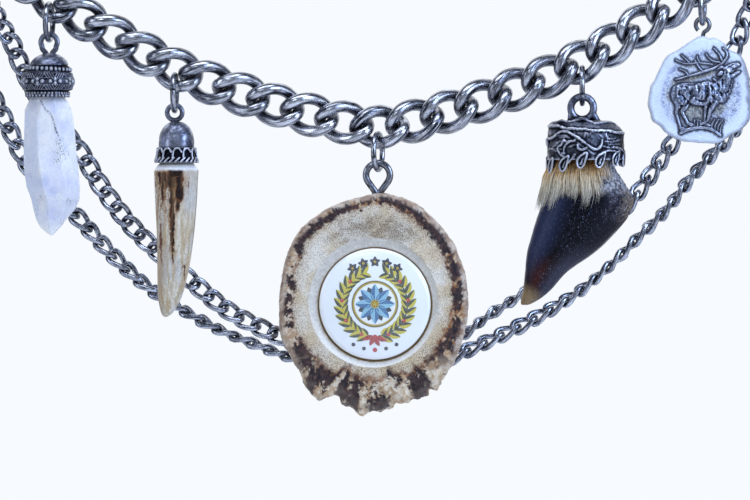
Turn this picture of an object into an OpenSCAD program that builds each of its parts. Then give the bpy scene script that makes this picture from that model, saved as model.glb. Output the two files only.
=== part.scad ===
// Charivari charm chain: one heavy curb chain, two fine chains and five hanging charms.
// X runs along the chain to the viewer's right, Y away from the viewer, Z up, in millimetres.
// The origin is the bearing point inside the left end hook, where the chain is hung up.

/* [Heavy curb chain] */
// Wire diameter of the heavy links
heavy_wire = 2.5; // [2.4:0.1:2.5]
// Distance from one heavy link to the next
heavy_pitch = 7.72; // [7.7:0.01:7.8]
// Play between the bows of two heavy links
heavy_play = 0.45; // [0.45:0.05:0.5]
// Half width of a heavy link, to the middle of its wire
heavy_half_width = 3.5; // [3.4:0.05:3.6]
// Twist at each end of a heavy link, in degrees
heavy_twist = 60; // [58:1:62]
// Turn of the whole chain about its own line at its outer links, in degrees
heavy_roll = 30; // [20:1:30]

/* [Fine chains] */
// Outer diameter of the fine chains, which turn about their own line
fine_d = 3.6; // [3.2:0.1:3.6]
// Wire diameter of the rings that join the fine chains to the heavy one
joining_wire = 1.0; // [0.8:0.1:1.0]

/* [Jump rings] */
// Outer diameter of a charm's jump ring
ring_outer = 9.0; // [8.9:0.1:9.1]
// Wire diameter of a charm's jump ring
ring_wire = 1.2; // [1.1:0.1:1.2]
// Clearance where one metal loop hangs in another
hang_gap = 0.1; // [0.1:0.05:0.15]

/* [Charms] */
// Largest radius of the quartz point's cap
crystal_cap_r = 5.6; // [5.4:0.1:5.8]
// Radius of the bell cap's rim on the antler tip
bell_r = 4.75; // [4.6:0.05:4.9]
// Thickness of the medallion's antler disc
disc_t = 7.2; // [6:0.1:8]
// Diameter of the porcelain insert
insert_d = 24; // [23:0.5:24]
// Wall of the hoof's cast cap
hoof_cap_wall = 1.0; // [0.8:0.1:1]
// Thickness of the antler slice
slice_t = 5; // [4:0.5:5]
// Thickness of the cast stag
stag_t = 1.3; // [1:0.1:1.5]

/* [End hooks] */
// Wire diameter of the end hooks
hook_wire = 2.2; // [2:0.1:2.4]
// Radius of a hook's bend, to the middle of its wire
hook_r = 4.6; // [4.4:0.1:5]

/* [Hidden] */
links_each_side = 16;
link_rings = 20;
link_sides = 8;
oval_sides = 16;
round_fn = 48;
wire_fn = 24;
overlap = 0.02;

// How steeply the chain climbs away from its middle link: [links from the middle, degrees]
LEFT_CLIMB = [
    [0.5, 7.5], [1.5, 12.9], [2.5, 16], [4.5, 19.7], [5.5, 22], [6.5, 26.8], [7.5, 29.2],
    [9.5, 31.5], [10.5, 34], [13.5, 40], [16, 45]
];
RIGHT_CLIMB = [
    [0.5, 10], [1.5, 15.6], [2.5, 17.4], [4.5, 21.7], [5.5, 24.8], [6.5, 29.3], [7.5, 32.5],
    [8.5, 35], [9.5, 38], [10.5, 37], [13.5, 41], [16, 45]
];

// Where each charm hangs: [link, place along it in mm, turn of the jump ring in degrees,
// drop of the ring's middle below the strand, how far right and down the charm sits of its eye]
CRYSTAL_HANG = [-10, 2, -10, 1.3, 0.6, 0.5];
TIP_HANG = [-6, 1.7, -5, 1.5, 0.4, 0.4];
MEDALLION_HANG = [0, -0.4, -14, 1.8, 0, 0];
HOOF_HANG = [6, -1.8, -1, 1.6, 0, 0];
SLICE_HANG = [10, -2.2, -7, 1.25, 0, 0];

// The upper fine chain's route from the chain's middle: [x, depth, z]
UPPER_ROUTE = [
    [-84.5, 0.6, 28.6], [-84.3, 1, 27.2], [-81.8, 5.4, 22.2], [-79.5, 8.2, 18], [-77.5, 9.8, 13],
    [-74, 10.2, 6.5], [-69.5, 10.2, 0.5], [-65, 10.2, -5], [-60.5, 9.8, -12.5], [-54.5, 9, -20.5],
    [-48, 8.4, -27], [-40.5, 7.8, -33.5], [-33, 7.4, -39.5], [-25.5, 7.2, -43.5], [-15, 7, -48],
    [-2, 7, -51.5], [10, 7, -49], [18.5, 7, -44.5], [24, 7.4, -40.5], [31, 8, -36], [38, 8.6, -30.5],
    [46, 9, -24], [54, 9, -16.5], [60, 8.4, -8.5], [64, 7.2, -2.5], [70, 6, 7], [76.5, 5.6, 16.5],
    [78.8, 4.8, 22.5], [80.9, 2.6, 27.4], [82.3, -0.2, 31.5], [82.4, -0.6, 32.9]
];
// The lower fine chain's route from the chain's middle: [x, depth, z]
LOWER_ROUTE = [
    [-96.7, 0.6, 38.4], [-96.5, 1, 37], [-94, 5.6, 31], [-91, 8.8, 23.5], [-86.5, 11.4, 12.5],
    [-81, 13.2, 1], [-76.5, 14.2, -8], [-71.5, 14.4, -14], [-65.5, 14.2, -19.5], [-60.5, 13.8, -25],
    [-54.5, 13.2, -31], [-49, 12.6, -35.5], [-42, 12, -40], [-34.5, 11.6, -44], [-27, 11.3, -47],
    [-17, 11, -50.5], [-2, 11, -53], [11, 11, -51.5], [22, 10.8, -47], [29.5, 10.5, -43.5],
    [37, 10.5, -39.5], [44, 10.5, -35], [50.5, 10.5, -29.5], [56, 10.4, -24], [62, 10, -18],
    [67.5, 9.4, -11], [72, 8.8, -6], [76.5, 8.2, -1], [81, 7.4, 8], [86.5, 6, 21], [91, 3.6, 33],
    [94.2, -0.2, 41.5], [94.4, -0.6, 42.9]
];

// The quartz point below its ring: [z, left x, right x]
QUARTZ_ROWS = [
    [-9.4, -4.3, 2.4], [-12.2, -4.6, 2.7], [-14.7, -5.9, 4.4], [-19, -6, 5], [-24.4, -6.2, 5.4],
    [-28, -6.1, 5.8], [-31.3, -5.6, 6.1], [-34.5, -4.7, 5.8], [-37.8, -3.9, 3.3], [-39.6, -2.5, 1.9],
    [-41.4, -0.4, 0.1]
];
// Corners of the quartz point's plan, on a unit circle: [x, y]
QUARTZ_PLAN = [
    [-0.5, 0.85], [0.45, 0.9], [1, 0.35], [0.95, -0.5], [0.3, -0.95], [-0.55, -0.85], [-1, 0.1]
];

// The antler tip below its ring: [z, left x, right x]
TIP_ROWS = [
    [-8.6, -3.5, 3.5], [-11.2, -3.7, 3.7], [-12.7, -4.9, 4.6], [-18.2, -4.7, 4.3], [-25.1, -4.4, 3.8],
    [-31.8, -4.3, 2.9], [-37.2, -4.4, 1.7], [-40.4, -4.3, 0.5], [-42.4, -3.8, -0.7],
    [-43.6, -3.3, -1.8], [-44.1, -2.9, -2.3]
];

// The hoof's horn below its ring: [z, left x, right x, half depth]
CLAW_ROWS = [
    [-8.4, -5.6, 6.3, 3.2], [-13.4, -6, 6.6, 3.6], [-15.8, -7.4, 8.3, 5.0], [-18.4, -7.9, 9.9, 5.5],
    [-20.4, -8.5, 11, 5.6], [-22.8, -9.2, 10.6, 5.5], [-25.3, -10, 9.3, 5.3], [-29.2, -11.1, 6, 4.8],
    [-32.2, -11.9, 2.7, 4.2], [-36.4, -12.3, -3.2, 3.2], [-40.3, -12.8, -6.8, 2.3],
    [-42.1, -13.2, -8.9, 1.6], [-43.5, -13.2, -11.6, 0.8]
];
// The fur tuft's outside: [z, left x, right x, half depth]
FUR_ROWS = [
    [-12.2, -6.5, 7.4, 5.1], [-14.2, -6.6, 7.7, 5.4], [-16.6, -8.5, 9.3, 6.4], [-19.5, -8.9, 10.9, 6.7]
];
fur_room = 0.35;
// The heights of the hollow that the horn fills, from above the tuft to below it
FUR_HOLLOW = [-11, -13.4, -15.8, -18.4, -20.4, -21];
// The hoof cap's outside: [z, left x, right x, half depth]
HOOF_CAP_ROWS = [
    [-3.7, -7.6, 8.2, 5.2], [-6, -8.2, 9.3, 6.6], [-10, -8, 9.4, 6.9], [-13.6, -8, 9.1, 6.8]
];
hoof_cap_inner_top = -7.6;

// The medallion disc's outline below its ring: [x, z]
DISC_OUTLINE = [
    [-0.3, -5.2], [-7, -6.8], [-11.1, -8.6], [-16.5, -12.7], [-18.9, -16.8], [-20.4, -21.1],
    [-21.1, -25.9], [-21.3, -31.3], [-21.1, -35.4], [-19.5, -39], [-17.8, -42.3], [-16.4, -44.5],
    [-15.6, -46.8], [-14.3, -48.5], [-12.5, -49.7], [-10.8, -48.8], [-8.7, -48.8], [-7.8, -50.6],
    [-6.2, -51.1], [-4.6, -52], [-2.5, -52.2], [-0.3, -52.4], [1.4, -51.8], [3.1, -51],
    [3.7, -50], [6.6, -50.3], [7.2, -49.4], [9, -49.6], [10.7, -48.5], [10.9, -47.2],
    [12.4, -47.2], [13.7, -45.4], [15.2, -43.4], [16.4, -41.4], [18.1, -37.3], [19.1, -33.2],
    [19.5, -28.9], [19.1, -23.9], [17.8, -19.4], [15.9, -15.3], [12.9, -11.5], [8.5, -7.7],
    [4.2, -5.8]
];
// How the two antler cuts round over at their edges: [part of half the thickness, scale of the outline]
CUT_EDGE = [[-1, 0.93], [-0.8, 0.98], [-0.4, 1], [0.4, 1], [0.8, 0.98], [1, 0.93]];
disc_middle = [-1, -28.6];
insert_middle = [-0.65, -29];
groove_r = 14;
groove_depth = 0.8;
seat_depth = 2.2;
insert_dome = 1.3;

// The antler slice's outline below its ring: [x, z]
SLICE_OUTLINE = [
    [-0.9, -2.9], [-2.7, -3.9], [-5.4, -5.8], [-7.1, -6.6], [-8.4, -8], [-9.2, -9.6],
    [-10.4, -12.2], [-11.3, -13.9], [-11.8, -17.3], [-11.3, -19.5], [-10.8, -21.1], [-9.3, -22.1],
    [-7.6, -23.9], [-4.2, -25.4], [0, -25.8], [3.4, -25.8], [5.4, -24.5], [8.4, -22.8],
    [10.2, -20.6], [10.3, -17], [10.1, -12.6], [9.7, -10.3], [8.9, -8.1], [7.8, -6.6],
    [5.8, -5.7], [4.5, -4.2], [2.5, -3.1], [1.4, -3.3], [0.2, -2.8]
];
slice_middle = [-0.8, -15];
// The stag's body with its raised head: [x, z]
STAG_BODY = [
    [-6.9, -15.4], [-5.2, -13.2], [-1.6, -13], [0.8, -12.2], [2.6, -10.8], [3, -9.4], [4.8, -9.2],
    [7.2, -8.6], [7.7, -9.8], [6.6, -11.4], [5.7, -13.2], [5.4, -16.2], [4, -17.4], [2.5, -18],
    [1.3, -21.4], [0, -21.4], [0.6, -17.9], [-1.6, -17.7], [-2.7, -16.6], [-3.8, -18.8],
    [-2.7, -21.8], [-4.4, -22.3], [-5, -19.2], [-6.6, -16.8]
];
// The near antler: [x, z]
STAG_ANTLER_NEAR = [
    [2.6, -10.4], [2.4, -9.1], [4.3, -8], [4.7, -6.6], [3.8, -5.2], [4.5, -5.4], [5.5, -6.6],
    [5.2, -8.2], [3.6, -9.4]
];
// The far antler, laid back over the shoulders: [x, z]
STAG_ANTLER_FAR = [
    [3, -9.9], [0, -10.7], [-3.4, -11.6], [-5.8, -12.4], [-6, -11.9], [-3.4, -10.9], [-0.6, -10],
    [-2, -8.3], [-1.5, -8], [0.2, -9.7], [2.6, -9]
];
// The strip of ground with its grass: [x, z]
STAG_GROUND = [
    [-5.4, -20.6], [-4.4, -21.8], [-2.6, -21.4], [0.4, -21], [3.4, -20.8], [4.3, -21.6],
    [3.7, -24.2], [1.5, -23.1], [-1, -22.7], [-3.2, -23.1], [-5, -23.8]
];

// Loops that hang in one another
ring_r = (ring_outer - ring_wire) / 2;
crystal_eye = [1.76, 1.15];
tip_eye = [1.63, 1.05];
medallion_eye_wire = 1.5;
medallion_eye_r = 2.6;
medallion_eye_apex = 4;
// The bead of solder where its legs meet over the pin
medallion_bead = 1.7;
pin_depth = 4;
pin_room = 0.15;
hoof_eye = [2.46, 1.64];
slice_eye_wire = 0.95;
slice_eye_r = 1.5;
// How far the hook of wire turns from its pin, the long way, and past it, in degrees
slice_eye_closed = 322;
slice_eye_past = 8;
slice_pin = 3.2;
slice_pin_below = 2.4;
joining_r = 3.2;
// Where a joining ring hangs: [place along its link towards the middle, turn in degrees, drop]
JOINING_HANG = [1.8, -20, 0.3];
heavy_half_length = (heavy_pitch + heavy_wire + heavy_play) / 2;
hook_eye_r = 3.3;
hook_shank = 1.6;
hook_open = 120;
link_power = 2.4;

LINK_NAMES = [for (i = [-links_each_side : links_each_side]) str("link_", i + links_each_side + 1)];

silver = [0.50, 0.51, 0.55];
dark_silver = [0.36, 0.37, 0.41];
bone = [0.86, 0.83, 0.76];
bark = [0.50, 0.40, 0.31];

// The heavy chain's run

// Climb of the stretch whose middle lies s links to the right of the middle link
function climb(s) = s < 0 ? -lookup(-s, LEFT_CLIMB) : lookup(s, RIGHT_CLIMB);
function step_right(i) = heavy_pitch * [cos(climb(i + 0.5)), 0, sin(climb(i + 0.5))];
function link_middle(i) = i == 0 ? [0, 0, 0]
    : i > 0 ? link_middle(i - 1) + step_right(i - 1)
    : link_middle(i + 1) - step_right(i);
function link_tilt(i) = (climb(i - 0.5) + climb(i + 0.5)) / 2;
function link_roll(i) = heavy_roll * max(-1, min(1, i / 11));

// A point of a link's wire, in the link's own frame, at the angle t round it
function power(v) = sign(v) * pow(abs(v), 2 / link_power);
function wire_point(along, across, roll) =
    let (turn = heavy_twist * along / heavy_half_length + roll)
    [along, across * sin(turn), across * cos(turn)];
function link_wire(t, roll) =
    wire_point(heavy_half_length * power(cos(t)), heavy_half_width * power(sin(t)), roll);

// A point of the lower strand at a place along the link
function strand_across(along) =
    -heavy_half_width * pow(1 - pow(abs(along) / heavy_half_length, link_power), 1 / link_power);
function tilted(p, angle) = [
    p[0] * cos(angle) - p[2] * sin(angle), p[1], p[0] * sin(angle) + p[2] * cos(angle)
];
function on_strand(i, along) = link_middle(i)
    + tilted(wire_point(along, strand_across(along), link_roll(i)), link_tilt(i));

// The middle of a charm's jump ring, and the middle of its wire at the bottom
function ring_middle(hang) = on_strand(hang[0], hang[1]) - [0, 0, hang[3]];
function pivot(hang) = ring_middle(hang) - [0, 0, ring_r];
// Where a charm's own tables start from
function charm_place(hang) = pivot(hang) + [hang[4], 0, -hang[5]];

// The end hooks, which carry on the line of the last links
function hook_way(side) =
    let (tilt = link_tilt(side * links_each_side))
    side * [cos(tilt), 0, sin(tilt)];
hook_bow_gap = hook_eye_r - hook_wire / 2 - heavy_wire / 2 - hang_gap;
function hook_eye_middle(side) = link_middle(side * links_each_side)
    + (heavy_half_length + hook_bow_gap) * hook_way(side);
function hook_bend_middle(side) = hook_eye_middle(side)
    + (hook_eye_r + hook_shank + hook_r) * hook_way(side);
function hook_bearing(side) = hook_bend_middle(side) + (hook_r - hook_wire / 2) * hook_way(side);

// Moves from the chain's middle to the left hook's bearing point
module placed() {
    translate(-hook_bearing(-1)) children();
}

// Sweeps and lofts

function unit(v) = v / norm(v);
function across(v, way) = unit(v - (v * way) * way);

// Faces between rings of points, each ring with the same number of points
function band(a, b, sides) = [
    for (j = [0 : sides - 1], half = [0, 1])
        let (k = (j + 1) % sides)
        half == 0 ? [a * sides + j, b * sides + j, b * sides + k]
            : [a * sides + j, b * sides + k, a * sides + k]
];
function cap_face(a, sides, turned) = [
    for (j = [1 : sides - 2])
        let (first = a * sides)
        turned ? [first, first + j + 1, first + j] : [first, first + j, first + j + 1]
];
function joined(lists) = [for (part = lists, item = part) item];

function ring_round(middle, way, out, radius, sides) =
    let (side = cross(way, out), step = 360 / sides)
    [for (j = [0 : sides - 1]) middle + radius * (cos(step * j) * out + sin(step * j) * side)];

// A closed wire round its own middle
module closed_wire(path, radius, sides) {
    n = len(path);
    rings = [
        for (i = [0 : n - 1])
            let (way = unit(path[(i + 1) % n] - path[(i + n - 1) % n]))
            ring_round(path[i], way, across(path[i], way), radius, sides)
    ];
    polyhedron(joined(rings), joined([for (i = [0 : n - 1]) band(i, (i + 1) % n, sides)]));
}

// An open tube, closed flat at its two ends
module tube(path, radius, sides) {
    n = len(path);
    rings = [
        for (i = [0 : n - 1])
            let (way = unit(path[min(i + 1, n - 1)] - path[max(i - 1, 0)]))
            ring_round(path[i], way, across([0, 1, 0], way), radius, sides)
    ];
    polyhedron(joined(rings), concat(
        joined([for (i = [0 : n - 2]) band(i, i + 1, sides)]),
        cap_face(0, sides, false), cap_face(n - 1, sides, true)
    ));
}

// A solid through closed sections, given from one end to the other
module loft(sections) {
    n = len(sections);
    sides = len(sections[0]);
    polyhedron(joined(sections), concat(
        joined([for (i = [0 : n - 2]) band(i, i + 1, sides)]),
        cap_face(0, sides, false), cap_face(n - 1, sides, true)
    ));
}

// A level oval between two sides, deep either way
function oval(row, depth, grow) =
    let (middle = (row[1] + row[2]) / 2, half = (row[2] - row[1]) / 2 + grow, step = 360 / oval_sides)
    [for (j = [0 : oval_sides - 1])
        [middle + half * cos(step * j), -(depth + grow) * sin(step * j), row[0]]];
function reversed(list) = [for (i = [len(list) - 1 : -1 : 0]) list[i]];

// A slice whose flat faces look at the viewer, rounded over at its edges
module cut_slice(outline, middle, thickness) {
    loft([
        for (edge = reversed(CUT_EDGE))
            [for (p = outline)
                [middle[0] + edge[1] * (p[0] - middle[0]), edge[0] * thickness / 2,
                    middle[1] + edge[1] * (p[1] - middle[1])]]
    ]);
}

module torus(r, wire, angle = 360) {
    rotate_extrude(angle = angle, $fn = round_fn) translate([r, 0]) circle(d = wire, $fn = wire_fn);
}

// A ring that hangs on a heavy link's lower strand
module hanging_ring(hang, r, wire) {
    color(silver) placed() translate(ring_middle(hang)) rotate([0, 0, hang[2]]) rotate([0, 90, 0])
        torus(r, wire);
}

// A wire loop that faces the viewer, above a charm
module upright_eye(eye) {
    translate([0, 0, ring_wire / 2 + hang_gap + eye[1] / 2 - eye[0]]) rotate([90, 0, 0])
        torus(eye[0], eye[1]);
}

// A round post between two heights, and a thin one of wire
module post(r, low, high) {
    translate([0, 0, low]) cylinder(r = r, h = high - low, $fn = round_fn);
}
module wire_post(d, low, high) {
    translate([0, 0, low]) cylinder(d = d, h = high - low, $fn = wire_fn);
}

// The top of a ball, above a height: ball is [radius, height of its top]
module dome(ball, low) {
    intersection() {
        translate([0, 0, ball[1] - ball[0]]) sphere(r = ball[0], $fn = round_fn);
        post(ball[0], low, ball[1] + 1);
    }
}

// The heavy chain

module heavy_link(i) {
    color(silver) placed() translate(link_middle(i)) rotate([0, -link_tilt(i), 0])
        closed_wire([for (k = [0 : link_rings - 1]) link_wire(360 * k / link_rings, link_roll(i))],
            heavy_wire / 2, link_sides);
}

module end_hook(side) {
    color(silver) placed() translate(hook_bend_middle(side)) mirror([side < 0 ? 1 : 0, 0, 0])
        rotate([0, -abs(link_tilt(side * links_each_side)), 0]) {
            rotate([90, 0, 0]) rotate([0, 0, hook_open - 180]) torus(hook_r, hook_wire, 360 - hook_open);
            translate([-hook_r - hook_shank, 0, 0]) rotate([0, 90, 0])
                cylinder(d = hook_wire, h = hook_shank, $fn = wire_fn);
            translate([-hook_r - hook_shank - hook_eye_r, 0, 0]) rotate([90, 0, 0])
                torus(hook_eye_r, hook_wire);
        }
}

// The fine chains

module fine_chain(route) {
    color(dark_silver) placed() tube(route, fine_d / 2, link_sides);
}

module joining_ring(i) {
    hang = [i, -sign(i) * JOINING_HANG[0], JOINING_HANG[1], JOINING_HANG[2]];
    hanging_ring(hang, joining_r, joining_wire);
}

// The charms' jump rings

module jump_ring(hang) {
    hanging_ring(hang, ring_r, ring_wire);
}

// Quartz point

crystal_axis = -0.95;
crystal_pocket = [4.05, -9.2];
// The cap's steps from its rim upwards: [bottom z, top z, radius below the largest]
CRYSTAL_CAP_STEPS = [[-11.9, -10.4, 0.6], [-10.4, -6.3, 0], [-6.3, -5, 0.4]];
crystal_dome = [4.6, -2.3];
// Radius of the solder foot between the dome and its eye
eye_foot = 0.9;

module crystal_cap() {
    rim = CRYSTAL_CAP_STEPS[0][0];
    shoulder = CRYSTAL_CAP_STEPS[len(CRYSTAL_CAP_STEPS) - 1][1];
    color(dark_silver) placed() translate(pivot(CRYSTAL_HANG)) upright_eye(crystal_eye);
    color(dark_silver) placed() translate(charm_place(CRYSTAL_HANG)) {
        difference() {
            union() {
                for (s = CRYSTAL_CAP_STEPS)
                    translate([crystal_axis, 0, 0]) post(crystal_cap_r - s[2], s[0] - overlap, s[1]);
                translate([crystal_axis / 2, 0, 0]) dome(crystal_dome, shoulder - overlap);
            }
            translate([crystal_axis, 0, 0]) post(crystal_pocket[0], rim - 1, crystal_pocket[1]);
        }
        translate([crystal_axis / 2, 0, crystal_dome[1]]) post(eye_foot, -eye_foot, eye_foot);
    }
}

module crystal_point() {
    color([0.86, 0.89, 0.95]) placed() translate(charm_place(CRYSTAL_HANG)) loft([
        for (row = QUARTZ_ROWS)
            let (middle = (row[1] + row[2]) / 2, half = (row[2] - row[1]) / 2)
            [for (p = QUARTZ_PLAN) [middle + half * p[0], half * 0.88 * p[1], row[0]]]
    ]);
}

// Antler tip

// The bell cap's steps from its rim upwards: [bottom z, top z, radius below the rim's]
BELL_STEPS = [[-10.9, -9.9, 0], [-9.9, -7.6, 0.35], [-7.6, -6.7, 0.9]];
bell_dome = [3.85, -2.9];
bell_pocket = [3.9, -8.4];
// The neck under the bell cap's eye: [radius, half its height]
bell_neck = [1.5, 0.9];

module antler_tip_cap() {
    rim = BELL_STEPS[0][0];
    shoulder = BELL_STEPS[len(BELL_STEPS) - 1][1];
    color(dark_silver) placed() translate(pivot(TIP_HANG)) upright_eye(tip_eye);
    color(dark_silver) placed() translate(charm_place(TIP_HANG)) difference() {
        union() {
            for (s = BELL_STEPS)
                post(bell_r - s[2], s[0] - overlap, s[1]);
            dome(bell_dome, shoulder - overlap);
            post(bell_neck[0], bell_dome[1] - bell_neck[1], bell_dome[1] + bell_neck[1]);
        }
        post(bell_pocket[0], rim - 1, bell_pocket[1]);
    }
}

module antler_tip() {
    color(bone) placed() translate(charm_place(TIP_HANG))
        loft([for (row = TIP_ROWS) oval(row, 0.95 * (row[2] - row[1]) / 2, 0)]);
}

// Medallion

module medallion_eye() {
    apex = medallion_eye_apex;
    leg = sqrt(apex * apex - medallion_eye_r * medallion_eye_r);
    lean = asin(medallion_eye_r / apex);
    top = ring_wire / 2 + hang_gap + medallion_eye_wire / 2;
    color(dark_silver) placed() translate(pivot(MEDALLION_HANG) + [0, 0, top - medallion_eye_r]) {
        rotate([90, 0, 0]) rotate([0, 0, -lean])
            torus(medallion_eye_r, medallion_eye_wire, 180 + 2 * lean);
        for (side = [-1, 1])
            translate([0, 0, -apex]) rotate([0, side * lean, 0]) wire_post(medallion_eye_wire, 0, leg);
        translate([0, 0, -apex]) sphere(d = medallion_bead, $fn = wire_fn);
        wire_post(medallion_eye_wire, -apex - pin_depth, -apex);
    }
}

module medallion_disc() {
    front = -disc_t / 2;
    disc_top = DISC_OUTLINE[0][1];
    color(bark) placed() translate(pivot(MEDALLION_HANG)) difference() {
        cut_slice(DISC_OUTLINE, disc_middle, disc_t);
        translate([insert_middle[0], front + seat_depth, insert_middle[1]]) rotate([90, 0, 0])
            cylinder(r = insert_d / 2 + pin_room, h = seat_depth + 1, $fn = 2 * round_fn);
        translate([insert_middle[0], front + groove_depth, insert_middle[1]]) rotate([90, 0, 0])
            cylinder(r = groove_r, h = groove_depth + 1, $fn = 2 * round_fn);
        wire_post(medallion_eye_wire + 2 * pin_room, disc_top - pin_depth - 1, disc_top + 1);
    }
}

module medallion_insert() {
    back = -disc_t / 2 + seat_depth - pin_room;
    edge = seat_depth - pin_room;
    dome = (insert_d * insert_d / 4 + insert_dome * insert_dome) / (2 * insert_dome);
    color("white") placed() translate(pivot(MEDALLION_HANG) + [insert_middle[0], back, insert_middle[1]])
        rotate([90, 0, 0]) intersection() {
            cylinder(d = insert_d, h = edge + insert_dome, $fn = 2 * round_fn);
            translate([0, 0, edge + insert_dome - dome]) sphere(r = dome, $fn = 3 * round_fn);
        }
}

// Hoof

module hoof_cap() {
    rows = HOOF_CAP_ROWS;
    inner = [for (row = reversed(rows)) if (row[0] < hoof_cap_inner_top) row];
    roof = concat([hoof_cap_inner_top], [for (k = [1 : 3]) rows[1][k]]);
    color(dark_silver) placed() translate(pivot(HOOF_HANG)) {
        loft(concat(
            [for (row = rows) oval(row, row[3], 0)],
            [for (row = inner) oval(row, row[3], -hoof_cap_wall)],
            [oval(roof, roof[3], -hoof_cap_wall)]
        ));
        upright_eye(hoof_eye);
    }
}

module hoof_claw() {
    color([0.10, 0.09, 0.12]) placed() translate(pivot(HOOF_HANG))
        loft([for (row = CLAW_ROWS) oval(row, row[3], 0)]);
}

// The claw's own row at a height, between the rows of its table
function claw_row(z) = concat([z], [
    for (k = [1 : 3]) lookup(-z, [for (row = CLAW_ROWS) [-row[0], row[k]]])
]);

module hoof_fur() {
    color([0.83, 0.70, 0.50]) placed() translate(pivot(HOOF_HANG)) difference() {
        loft([for (row = FUR_ROWS) oval(row, row[3], 0)]);
        loft([
            for (z = FUR_HOLLOW)
                let (row = claw_row(z)) oval(row, row[3], fur_room)
        ]);
    }
}

// Stag slice

module slice_eye() {
    eye_middle = ring_wire / 2 + hang_gap + slice_eye_wire / 2 - slice_eye_r;
    color(dark_silver) placed() translate(pivot(SLICE_HANG) + [0, 0, eye_middle]) {
        rotate([90, 0, 0]) rotate([0, 0, -90 - slice_eye_past])
            torus(slice_eye_r, slice_eye_wire, slice_eye_past + slice_eye_closed);
        wire_post(slice_eye_wire, -slice_eye_r - slice_pin, -slice_eye_r);
    }
}

module antler_slice() {
    color([0.88, 0.90, 0.94]) placed() translate(pivot(SLICE_HANG)) difference() {
        cut_slice(SLICE_OUTLINE, slice_middle, slice_t);
        wire_post(slice_eye_wire + 2 * pin_room, -slice_pin - slice_pin_below, 0);
    }
}

module stag_shape(outline) {
    rotate([90, 0, 0]) linear_extrude(stag_t) polygon(outline);
}

module stag_relief() {
    color(dark_silver) placed() translate(pivot(SLICE_HANG) + [0, -slice_t / 2 - hang_gap, 0]) {
        stag_shape(STAG_BODY);
        stag_shape(STAG_ANTLER_NEAR);
        stag_shape(STAG_ANTLER_FAR);
        stag_shape(STAG_GROUND);
    }
}

for (i = [-links_each_side : links_each_side])
    heavy_link(i);
end_hook(-1);  // left_hook
end_hook(1);  // right_hook
fine_chain(UPPER_ROUTE);  // fine_chain_upper
fine_chain(LOWER_ROUTE);  // fine_chain_lower
joining_ring(-12);  // joining_ring_upper_left
joining_ring(12);  // joining_ring_upper_right
joining_ring(-14);  // joining_ring_lower_left
joining_ring(14);  // joining_ring_lower_right
jump_ring(CRYSTAL_HANG);  // crystal_ring
crystal_cap();
crystal_point();
jump_ring(TIP_HANG);  // antler_tip_ring
antler_tip_cap();
antler_tip();
jump_ring(MEDALLION_HANG);  // medallion_ring
medallion_eye();
medallion_disc();
medallion_insert();
jump_ring(HOOF_HANG);  // hoof_ring
hoof_cap();
hoof_fur();
hoof_claw();
jump_ring(SLICE_HANG);  // slice_ring
slice_eye();
antler_slice();
stag_relief();
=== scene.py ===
# A charivari charm chain, hung up by its end hooks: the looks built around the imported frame.
# Lengths are in millimetres, in the frame of the part, until a mesh is made.
import bpy
import numpy as np
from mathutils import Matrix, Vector

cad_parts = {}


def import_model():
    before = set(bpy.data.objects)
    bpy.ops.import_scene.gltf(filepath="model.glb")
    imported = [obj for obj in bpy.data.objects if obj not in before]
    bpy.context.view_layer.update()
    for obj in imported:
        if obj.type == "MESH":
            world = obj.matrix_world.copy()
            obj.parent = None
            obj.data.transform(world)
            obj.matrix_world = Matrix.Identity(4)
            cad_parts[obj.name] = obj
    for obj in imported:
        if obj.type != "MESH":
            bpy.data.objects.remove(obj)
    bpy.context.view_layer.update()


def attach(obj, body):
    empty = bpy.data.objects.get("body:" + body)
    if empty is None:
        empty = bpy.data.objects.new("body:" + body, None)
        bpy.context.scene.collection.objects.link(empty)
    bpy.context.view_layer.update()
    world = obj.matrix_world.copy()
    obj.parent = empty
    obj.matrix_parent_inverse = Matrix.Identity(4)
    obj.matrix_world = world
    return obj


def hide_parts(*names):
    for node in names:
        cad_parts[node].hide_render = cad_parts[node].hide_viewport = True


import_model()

MM = 0.001
SEED = 11

# The chain's dimensions, as in the part's source
HEAVY_WIRE = 2.5
HEAVY_PITCH = 7.72
HEAVY_HALF_LENGTH = (HEAVY_PITCH + HEAVY_WIRE + 0.45) / 2
HEAVY_HALF_WIDTH = 3.5
HEAVY_TWIST = 60
HEAVY_ROLL = 30
LINK_POWER = 2.4
LINKS_EACH_SIDE = 16
LEFT_CLIMB = [
    (0.5, 7.5), (1.5, 12.9), (2.5, 16), (4.5, 19.7), (5.5, 22), (6.5, 26.8), (7.5, 29.2), (9.5, 31.5),
    (10.5, 34), (13.5, 40), (16, 45)]
RIGHT_CLIMB = [
    (0.5, 10), (1.5, 15.6), (2.5, 17.4), (4.5, 21.7), (5.5, 24.8), (6.5, 29.3), (7.5, 32.5), (8.5, 35),
    (9.5, 38), (10.5, 37), (13.5, 41), (16, 45)]
# The heavy wire shows a little fuller than the part's own
HEAVY_SHOWN_R = HEAVY_WIRE * 0.53
HEAVY_ROWS, HEAVY_SIDES = 76, 16
FINE_WIRE = 1.17
FINE_PITCH = 4.0
FINE_HALF_LENGTH = (FINE_PITCH + FINE_WIRE + 0.3) / 2
FINE_HALF_WIDTH = 1.6
FINE_TWIST = 46
FINE_SQUARENESS = 3.0
FINE_ROWS, FINE_SIDES = 38, 10
# What a fine chain's route leaves free at each end
FINE_END = 0.3
RING_OUTER = 9.0
RING_WIRE = 1.2
RING_R = (RING_OUTER - RING_WIRE) / 2
HANG_GAP = 0.1
HOOK_WIRE = 2.2
HOOK_R = 4.6
HOOK_EYE_R = 3.3
HOOK_SHANK = 1.6
HOOK_OPEN = 120
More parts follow.
